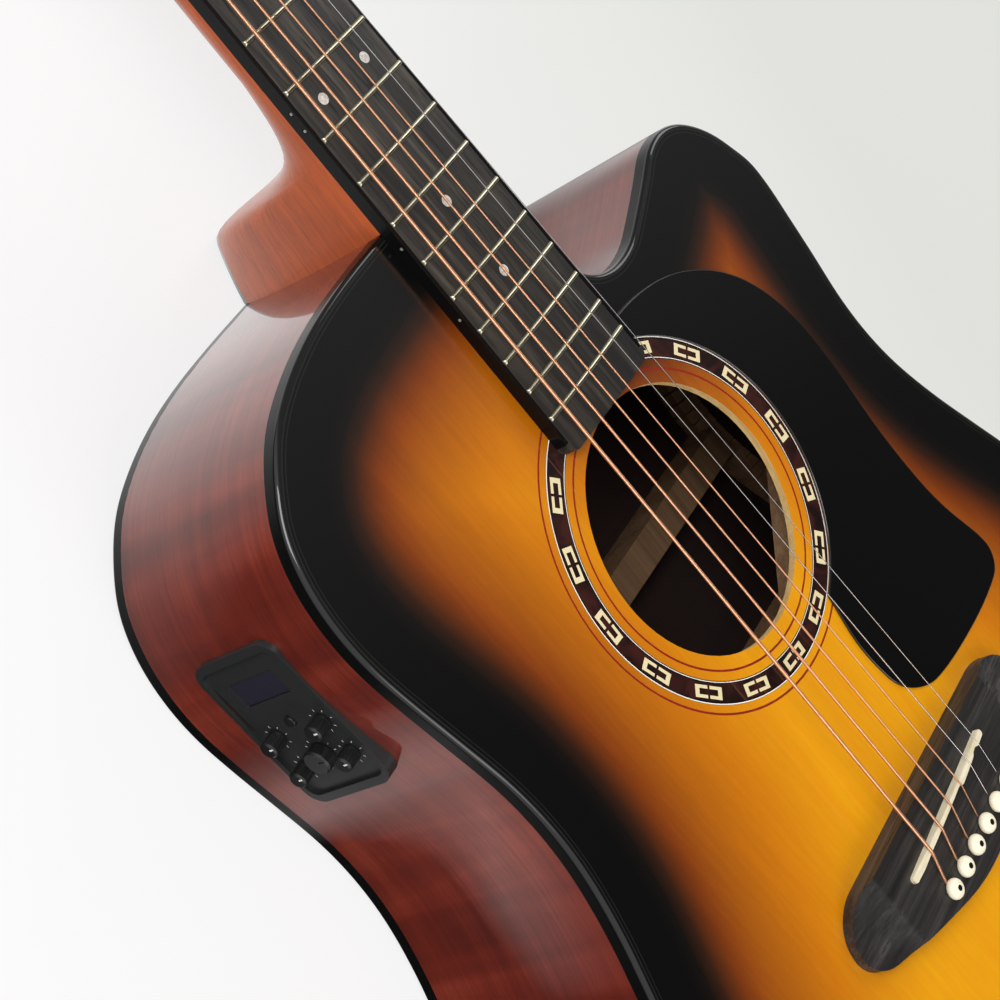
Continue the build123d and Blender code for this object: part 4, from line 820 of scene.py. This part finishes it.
def bound_edges():
    """Rounded binding round the top and the back, and along the fretboard."""
    corner = 1.9 * MM
    turns = [(-corner + corner * math.sin(a), -corner + corner * math.cos(a))
             for a in (math.radians(7.5 * k) for k in range(13))]
    low = -BINDING_H
    profile = [(-BINDING_W, low), (-BINDING_W, 0), *turns]
    profile += [(0, -corner - 0.3 * MM), (0, low + 0.1 * MM), (0, low)]
    parts = []
    for on_back in (False, True):
        ring = ring_mesh(profile, on_back)
        for face in ring.faces:
            face.material_index = int(abs(face.normal.z) < 0.1)
        parts.append((to_mesh(ring, "body_binding"), LAY))
    board = merged("bindings", UNLAY)
    for shell in islands(board):
        if max(abs(v.co.x) for face in shell for v in face.verts) > BOARD_END_WIDTH:
            bmesh.ops.delete(board, geom=list(shell), context="FACES")
    strips = eased(board, "board_binding", 0.4 * MM)
    for face in strips.polygons:
        face.material_index = 1
    parts.append((strips, LAY))
    stand_in("bindings", joined("bindings_finished", parts), [BOUND_BLACK, BOARD_BLACK])


def bent_side(node, lacquered, raw):
    """One side, whose grain follows the outline; its inner face is bare."""
    bm = merged(node)
    local = [UNLAY @ v.co for v in bm.verts]
    gap, along = on_rail(np.array([(p.x, p.y) for p in local]))
    length = RAIL_STEP * len(RAIL)
    middle = np.median(along)
    along[along - middle > length / 2] -= length
    along[middle - along > length / 2] += length
    bm.verts.index_update()
    inner = SIDE_T * 0.6
    for face in bm.faces:
        face.material_index = int(np.mean([gap[v.index] for v in face.verts]) > inner)
    smooth_by_angle(bm, 30)
    mesh = to_mesh(bm, node + "_finished")
    place = mesh.attributes.new("grain_place", "FLOAT_VECTOR", "POINT")
    spots = np.stack([along, [p.z for p in local], gap], 1).astype(np.float32)
    place.data.foreach_set("vector", spots.ravel())
    stand_in(node, mesh, [lacquered, raw])


def opened_back(lacquered, raw):
    """The back: lacquered outside, bare inside."""
    bm = merged("back_plate")
    for face in bm.faces:
        face.material_index = int(face.normal.z > -0.5)
    smooth_by_angle(bm, 20)
    stand_in("back_plate", to_mesh(bm, "back_plate_finished"), [lacquered, raw])


def kerfed_linings(material):
    """Strips of small sawn blocks inside the top and back edges."""
    tree = kerf_tree()
    inset = SIDE_T + LINING_W / 2
    rows = []
    for lean in (6.0 * MM, -6.0 * MM):
        bm = bmesh.new()
        last = None
        for (x, y), (nx, ny) in zip(RAIL, RAIL_OUT):
            px, py = x - nx * inset, y - ny * inset
            by_neck = NECK_BLOCK[0] < px < NECK_BLOCK[1] and py > NECK_BLOCK[2]
            by_tail = abs(px) < TAIL_BLOCK[0] + 3 * MM and py < TAIL_BLOCK[1]
            up = -TOP_T - LINING_H / 2 if lean > 0 else back_height(py) + BACK_T + LINING_H / 2
            here = None if by_neck or by_tail else bm.verts.new((px, py, up))
            if here is not None and last is not None:
                bm.edges.new((last, here))
            last = here
        seed = to_mesh(bm, "lining_line")
        row = grown(tree, "lining_row", seed, Spacing=5.6 * MM, Block=(5.0 * MM, LINING_W, LINING_H),
                    Lean=lean, Material=material)
        rows.append((row, LAY))
    stand_in("linings", joined("kerfed_linings", rows), material)


def rosette_rings():
    """The inlaid rings, and the row of facing brackets in the dark band."""
    smooth_copy("rosette", rosette_inlay(), degrees=20)
    bm = bmesh.new()
    low, high = -0.2 * MM, 0.012 * MM
    half, end = MOTIF_W / 2, 1.9 * MM
    for sign in (-1, 1):
        for x0, x1, y0, y1 in ((-half, half, MOTIF_L / 2 - end, MOTIF_L / 2),
                               (-half, MOTIF_LINE - half, MOTIF_GAP / 2, MOTIF_L / 2 - end),
                               (half - MOTIF_LINE, half, MOTIF_GAP / 2, MOTIF_L / 2 - end)):
            ys = sorted((sign * y0, sign * y1))
            add_block(bm, (x0, ys[0], low), (x1, ys[1], high))
    first = MOTIF_MIDDLE - MOTIF_PITCH * (MOTIF_COUNT - 1) / 2
    brackets = grown(ring_tree(), "rosette_brackets", to_mesh(bm, "bracket_pair"), Count=MOTIF_COUNT,
                     Radius=MOTIF_R, First=first, Pitch=MOTIF_PITCH, Material=CREAM_INLAY)
    brackets.transform(LAY)
    add_piece(brackets, CREAM_INLAY)


# ---------------- the bridge
def compensated_saddle():
    """The bone saddle, its ridge cut back in steps behind some strings to set their lengths."""
    start, stop = SADDLE_ENDS
    run = stop - start
    length = run.length
    ahead = run.normalized()
    front = Vector((-ahead.y, ahead.x))
    foot = SADDLE_FOOT + 0.1 * MM
    rest = BRIDGE_T + 0.5 * MM
    rim = 0.25 * MM
    cut = ((0.0, 1.0), (0.10, 1.0), (0.20, 0.62), (0.40, 0.3), (0.60, 0.08), (0.62, 0.1), (0.645, 1.0),
           (0.80, 0.85), (0.83, 0.75), (0.85, 0.25), (0.885, 0.2), (0.91, 0.95), (1.0, 1.0))
    shares, ridges = zip(*cut)
    bm = bmesh.new()
    rows = []
    for k in range(121):
        share = (1 - math.cos(math.pi * k / 120)) / 2
        u = (0.004 + 0.992 * share) * length
        end = min(u, length - u, SADDLE_T / 2)
        half = math.sqrt(max((SADDLE_T / 2) ** 2 - (SADDLE_T / 2 - end) ** 2, 0))
        middle = start + ahead * u
        top = SADDLE_TOP - middle.x ** 2 / (2 * CROWN_R)
        back = -half * float(np.interp(u / length, shares, ridges))
        section = [(-half, foot), (-half, rest), (back, top - 1.2 * MM), (back + rim * 0.3, top - rim),
                   (back + rim, top), (half - rim, top), (half - rim * 0.3, top - rim),
                   (half, top - 2 * rim), (half, foot)]
        rows.append([bm.verts.new((*(middle + front * max(v, -half)), z)) for v, z in section])
    skin(bm, rows)
    cap(bm, rows)
    finish_skin(bm, 50)
    stand_in("saddle", to_mesh(bm, "saddle_finished", LAY), BONE)


def ball_pins():
    """Six ball-headed pins, each with a dark dot."""
    heads = [(0, -8.0), (2.55, -8.0), (2.7, -0.3), (3.2, -0.05), (3.75, 0.45), (4.0, 1.2), (3.95, 1.9),
             (3.55, 2.7), (2.8, 3.3), (1.7, 3.7), (0.8, 3.82), (0, 3.85)]
    dot = [(0, 3.6), (1.15, 3.6), (1.15, 3.8), (0.9, 3.86), (0, 3.89)]
    tree = row_tree()
    place = LAY @ Matrix.Translation((0, PIN_Y, BRIDGE_T))
    for name, profile, look, node in (("bridge_pins_finished", heads, CREAM_PIN, "bridge_pins"),
                                      ("pin_dots", dot, BLACK_DOT, None)):
        bm = lathe([(r * MM, z * MM) for r, z in profile])
        row = grown(tree, name, to_mesh(bm, name), Count=6, Pitch=PIN_PITCH, Material=look)
        row.transform(place)
        add_piece(row, look, stands_for=node)


# ---------------- the neck
def fret_beads():
    """Frets at their tempered places, as wide as the board between its bindings, crowned with it."""
    bm = bmesh.new()
    rows = []
    stations = [-1.0, -0.992, -0.975] + [k / 8 for k in range(-7, 8)] + [0.975, 0.992, 1.0]
    for x in stations:
        lift = 0.45 if abs(x) == 1 else 0.85 if abs(x) > 0.99 else 1.0
        rows.append([bm.verts.new((x, math.cos(a), math.sin(a) * lift))
                     for a in (math.pi * k / 12 for k in range(13))])
    skin(bm, rows)
    cap(bm, rows)
    finish_skin(bm, 50)
    reach = NUT_Y - HOLE_TO_LAST_FRET
    half = NUT_WIDTH / 2 - BOARD_BINDING_W
    sink = 0.1 * MM
    beads = grown(fret_tree(), "frets_finished", to_mesh(bm, "fret_bead"), Count=FRET_COUNT,
                  Scale=SCALE_LENGTH, Nut_Place=NUT_Y, Nut_Half=half,
                  Widening=(BOARD_END_WIDTH - NUT_WIDTH) / 2 / reach, Bead_Half=FRET_W / 2,
                  Bead_Height=FRET_H + sink, Crown=CROWN_R, Material=NICKEL)
    beads.transform(LAY @ Matrix.Translation((0, 0, BOARD_T - sink)))
    stand_in("frets", beads, NICKEL)


def position_dots():
    """Pearl dots on the board's face, smaller plain ones in its edge."""
    bm = merged("fret_markers")
    for shell in islands(bm):
        corners = list({v for face in shell for v in face.verts})
        wide = [v.co.x for v in corners]
        in_edge = max(wide) - min(wide) < 3.0 * MM
        for face in shell:
            face.material_index = int(in_edge)
        if in_edge:
            middle = sum((v.co for v in corners), Vector()) / len(corners)
            for v in corners:
                v.co.yz = middle.yz + (v.co.yz - middle.yz) * SIDE_DOT_SHARE
    smooth_by_angle(bm, 20)
    stand_in("fret_markers", to_mesh(bm, "fret_markers_finished"), [pearl(), WHITE_DOT])


# ---------------- the preamp
def knob_of(name, face_look):
    """A black knob with eased edges, whose round face can have another look."""
    out = PANEL.to_3x3() @ Vector((0, 0, 1))
    mesh = eased(merged(name), name + "_finished", 0.3 * MM)
    for face in mesh.polygons:
        face.material_index = int(face.normal.dot(out) > 0.95)
    stand_in(name, mesh, [KNOB_BLACK, face_look])


def knob_pointer(name, x, y):
    """A fine white line on a small knob's face, pointing up."""
    bm = bmesh.new()
    add_block(bm, (KNOB_R * 0.35, -0.3 * MM, -0.1 * MM), (KNOB_R * 0.88, 0.3 * MM, 0.03 * MM))
    place = PANEL @ Matrix.Translation((x, y, KNOB_TOP)) @ Matrix.Rotation(math.radians(90), 4, "Z")
    add_piece(to_mesh(bm, name + "_pointer", place), PRINT_WHITE, name)


def panel_ticks():
    """Short printed ticks round each knob."""
    tree = ring_tree()
    sweep = math.radians(270)
    parts = []
    knobs = [(x, y, KNOB_R, 7) for x, y in KNOB_PLACES] + [(*BIG_KNOB_PLACE, BIG_KNOB_R, 11)]
    for x, y, radius, count in knobs:
        bm = bmesh.new()
        add_block(bm, (-0.45 * MM, -0.11 * MM, -0.1 * MM), (0.45 * MM, 0.11 * MM, 0.02 * MM))
        ticks = grown(tree, "ticks", to_mesh(bm, "tick"), Count=count, Radius=radius + 1.3 * MM,
                      First=math.pi / 2 - sweep / 2, Pitch=sweep / (count - 1), Material=PRINT_WHITE)
        parts.append((ticks, PANEL @ Matrix.Translation((x, y, PANEL_FLOOR))))
    add_piece(joined("panel_ticks", parts), PRINT_WHITE)


# ---------------- camera, light and floor
def look_through_camera():
    """Camera above the bass shoulder, looking down and across towards the bridge."""
    data = bpy.data.cameras.new("camera")
    data.lens = 88.84
    data.sensor_width = 36.0
    data.clip_start = 0.01
    camera = bpy.data.objects.new("camera", data)
    forward = Vector((0.63128, -0.29736, -0.71629)).normalized()
    right = Vector((0.46577, -0.59311, 0.65671)).normalized()
    up = right.cross(forward)
    turn = Matrix((right, up, -forward)).transposed().to_4x4()
    camera.matrix_world = Matrix.Translation((-0.57559, 0.30291, 0.68435)) @ turn
    bpy.context.scene.collection.objects.link(camera)
    bpy.context.scene.camera = camera


def area_light(name, place, aim, size, power):
    """A square soft light that faces a point."""
    data = bpy.data.lights.new(name, "AREA")
    data.size = size
    data.energy = power
    lamp = bpy.data.objects.new(name, data)
    lamp.location = place
    lamp.rotation_euler = (Vector(aim) - Vector(place)).to_track_quat("-Z", "Y").to_euler()
    bpy.context.scene.collection.objects.link(lamp)


def studio_world():
    """Soft even light; the eye sees white, and gloss sees white at the left and grey at the right."""
    world = bpy.data.worlds.new("studio")
    bpy.context.scene.world = world
    world.use_nodes = True
    w = Nodes(world.node_tree)
    w.tree.nodes.clear()
    towards = w.node("SeparateXYZ", {0: w.node("TexCoord", {}).outputs["Generated"]}).outputs
    overhead = w.span(towards["Y"], -0.28, -0.05, 0.03, 0.28)
    high = w.span(towards["Z"], 0.1, 0.5)
    right = w.sum("ADD", w.product(overhead, high), w.span(high, 0, 1, 0.4, 0.0))
    left = w.span(towards["X"], 0.1, -0.15)
    reflected = w.sum("ADD", w.product(right, w.span(left, 0, 1, 1, 0)), w.span(left, 0, 1, 0, 0.9))
    ambient = w.node("Background", {"Color": (1, 1, 1, 1), "Strength": 0.45}).outputs[0]
    mirror = w.node("Background", {"Color": (1, 1, 1, 1), "Strength": reflected}).outputs[0]
    backdrop = w.node("Background", {"Color": (0.93, 0.93, 0.92, 1), "Strength": 1.0}).outputs[0]
    unlit = w.mix_shaders(w.seen_by("Glossy", "Transmission"), ambient, mirror)
    whole = w.mix_shaders(w.seen_by("Camera"), unlit, backdrop)
    w.node("OutputWorld", {"Surface": whole})


def studio_floor():
    """A wide pale floor for the guitar's soft shadow; to glossy rays it glows in a laid-out pattern,
    painted reflection, bright beside the neck and the waist and nearly black close by.
    """
    # painted reflection: strengths of the patches that glossy rays see on the floor
    beside_neck, beside_waist, far_off, near_by = 1.14, 0.85, 0.7, 0.04
    bm = bmesh.new()
    bmesh.ops.create_grid(bm, x_segments=2, y_segments=2, size=8.0)
    mesh = to_mesh(bm, "floor", Matrix.Translation((0, 0.15, -0.0005)))
    f = Finish("pale_floor", "f2f2f1", roughness=0.9, specular_ior_level=0.1)
    spot = f.node("SeparateXYZ", {"Vector": f.place()}).outputs
    x, y = spot["X"], spot["Y"]
    # a bright patch beside the neck, painted reflection for the lacquer
    upper = f.product(f.span(x, -0.195, -0.115), f.span(y, 0.06, 0.14), beside_neck)
    # a bright slanting strip beside the waist, painted reflection for the side
    aslant = f.sum("ADD", f.product(x, 0.78), f.product(y, -0.626))
    across = f.product(f.span(aslant, -0.104, -0.114), f.span(aslant, -0.150, -0.124))
    along = f.product(f.span(y, 0.05, 0.0), f.span(y, -0.085, -0.06))
    painted_waist_reflection = f.product(across, along, beside_waist)
    away = f.sum("MAXIMUM", f.span(f.sum("ABSOLUTE", x), 0.28, 0.5), f.span(y, -0.42, -0.6))
    bright = f.sum("MAXIMUM", f.sum("ADD", upper, painted_waist_reflection), f.span(away, 0, 1, near_by, far_off))
    # the floor glows with this pattern for glossy rays only: painted reflection
    mirror = f.node("Emission", {"Color": (1, 1, 0.99, 1), "Strength": bright}).outputs[0]
    # painted shade: the floor seen by the eye goes from white at the left to grey at the right
    shaded_floor_tone = f.mix(f.span(x, 0.03, 0.33), (0.97, 0.97, 0.97, 1), (0.70, 0.71, 0.66, 1))
    eye = f.node("Emission", {"Color": shaded_floor_tone, "Strength": 1.0}).outputs[0]
    lit = f.mix_shaders(f.product(f.seen_by("Camera"), 0.75), f.shader.outputs[0], eye)
    surface = f.mix_shaders(f.seen_by("Glossy"), lit, mirror)
    f.tree.links.new(surface, f.tree.nodes["Material Output"].inputs["Surface"])
    mesh.materials.append(f.material)
    floor = bpy.data.objects.new("floor", mesh)
    bpy.context.scene.collection.objects.link(floor)


def light_the_studio():
    studio_world()
    studio_floor()
    area_light("key_softbox", (-1.3, 1.5, 1.9), (0, 0.05, 0.05), 1.4, 44)
    area_light("fill_softbox", (-1.2, -1.6, 1.7), (0, 0, 0.05), 1.6, 22)
    area_light("back_softbox", (1.9, 0.8, 1.5), (0, 0.1, 0.05), 1.2, 14)


# ---------------- the guitar
def finish_node(material, *names):
    """Gives CAD nodes a finish."""
    for name in names:
        mesh = nodes[name].data
        mesh.materials.clear()
        mesh.materials.append(material)


SOFT_LACQUER = {**LACQUER, "coat_roughness": 0.12}
BLACK_LACQUER = Finish("black_lacquer", "060606", **SOFT_LACQUER).material
BOUND_BLACK = Finish("binding_black", "060606", **LACQUER).material
BOARD_BLACK = Finish("board_binding_black", "0a0a0a", roughness=0.25, specular_ior_level=0.15).material
WHITE_DOT = moulded("white_dot", "8c8c84", 0.4)
DARK_LINE = Finish("dark_line", "1c1e1a", **LACQUER).material
CREAM_INLAY = moulded("cream_inlay", "ecdcae", 0.25, coat_weight=1.0, coat_roughness=0.03)
CREAM_PIN = moulded("cream_pin", "fff4d8", 0.3)
BLACK_DOT = moulded("black_dot", "100e0e", 0.3)
BONE = polished_bone()
NICKEL = metal("nickel_silver", "b4ae98", 0.26, (0.1, 1, 1))
CHROME = metal("chrome_plate", "dcdcdc", 0.08)
STEEL = metal("bright_steel", "b8b8b8", 0.3)
KNOB_BLACK = moulded("knob_black", "121212", 0.42)
KNOB_FACE = moulded("knob_face", "2e2e2e", 0.4)
PRINT_WHITE = moulded("print_white", "d6d6d2", 0.5)

look_through_camera()
light_the_studio()

soundboard_face()
bound_edges()
side_wood, inner_wood_in_shade = side_mahogany(), raw_mahogany_in_shade()
for side in ("side_bass", "side_treble"):
    bent_side(side, side_wood, inner_wood_in_shade)
opened_back(back_mahogany(), inner_wood_in_shade)
# spruce grain for the braces and linings, its tones darkened to stand in for the shade inside the body:
# painted shade
brace_wood_in_shade = bare_spruce("brace_spruce_in_shade", "9c7856", "74563c")
kerfed_linings(brace_wood_in_shade)
finish_node(brace_wood_in_shade, "x_braces", "top_braces", "back_braces")
finish_node(inner_wood_in_shade, "neck_block", "tail_block")
finish_node(bare_spruce("plate_maple", "c8b08a", "b09468"), "bridge_plate")
finish_node(DARK_LINE, "purfling")
rosette_rings()
eased_copy("pickguard", BLACK_LACQUER, 0.3 * MM)

bridge_wood = rosewood("bridge_rosewood", ("141211", "24211f", "343130", "4a4643"), math.pi / 2)
eased_copy("bridge", bridge_wood, 0.5 * MM)
compensated_saddle()
ball_pins()
finish_node(metal("pickup_brass", "b08d4a", 0.35), "pickup_strip")

neck_wood = neck_mahogany()
smooth_copy("neck", neck_wood, degrees=28)
eased_copy("heel_cap", BLACK_LACQUER, 0.4 * MM)
board_wood = rosewood("fretboard_rosewood", ("0f0d0b", "1f1b17", "352f28", "544a40"))
eased_copy("fretboard", board_wood, 0.25 * MM)
eased_copy("headstock_veneer", board_wood, 0.3 * MM)
eased_copy("nut", BONE, 0.25 * MM)
fret_beads()
position_dots()
finish_node(STEEL, "truss_rod", "neck_bolts")
smooth_copy("small_screws", STEEL)
eased_copy("truss_rod_cover", BLACK_LACQUER, 0.3 * MM)
smooth_copy("wound_strings", wound_bronze(), degrees=50)
smooth_copy("plain_strings", metal("plain_wire", "c4c0bc", 0.2), degrees=50)

eased_copy("tuner_housings", CHROME, 0.4 * MM)
smooth_copy("tuner_bushings", CHROME)
for k in range(1, 7):
    smooth_copy(f"tuner_post_{k}", CHROME)
    eased_copy(f"tuner_key_{k}", CHROME, 0.3 * MM)

satin_black = moulded("preamp_plastic", "232424", 0.36, 0.01 * MM)
eased_copy("preamp_bezel", satin_black, 0.5 * MM, segments=3)
finish_node(satin_black, "preamp_box")
finish_node(moulded("circuit_green", "1d4a2c", 0.4), "preamp_board")
eased_copy("preamp_screen", Finish("screen_glass", "22212e", roughness=0.25).material, 0.3 * MM)
finish_node(moulded("battery_case", "2a2a2e", 0.35), "battery")
for k, (x, y) in enumerate(KNOB_PLACES, 1):
    knob_of(f"tone_knob_{k}", KNOB_BLACK)
    knob_pointer(f"tone_knob_{k}", x, y)
knob_of("volume_knob", KNOB_FACE)
eased_copy("switch_button", KNOB_BLACK, 0.25 * MM)
panel_ticks()

smooth_copy("endpin_jack", CHROME)
smooth_copy("output_lead", moulded("lead_rubber", "161616", 0.5))
finish_node(moulded("fine_lead_rubber", "161616", 0.5), "pickup_lead")

bpy.context.scene.view_settings.view_transform = "Standard"
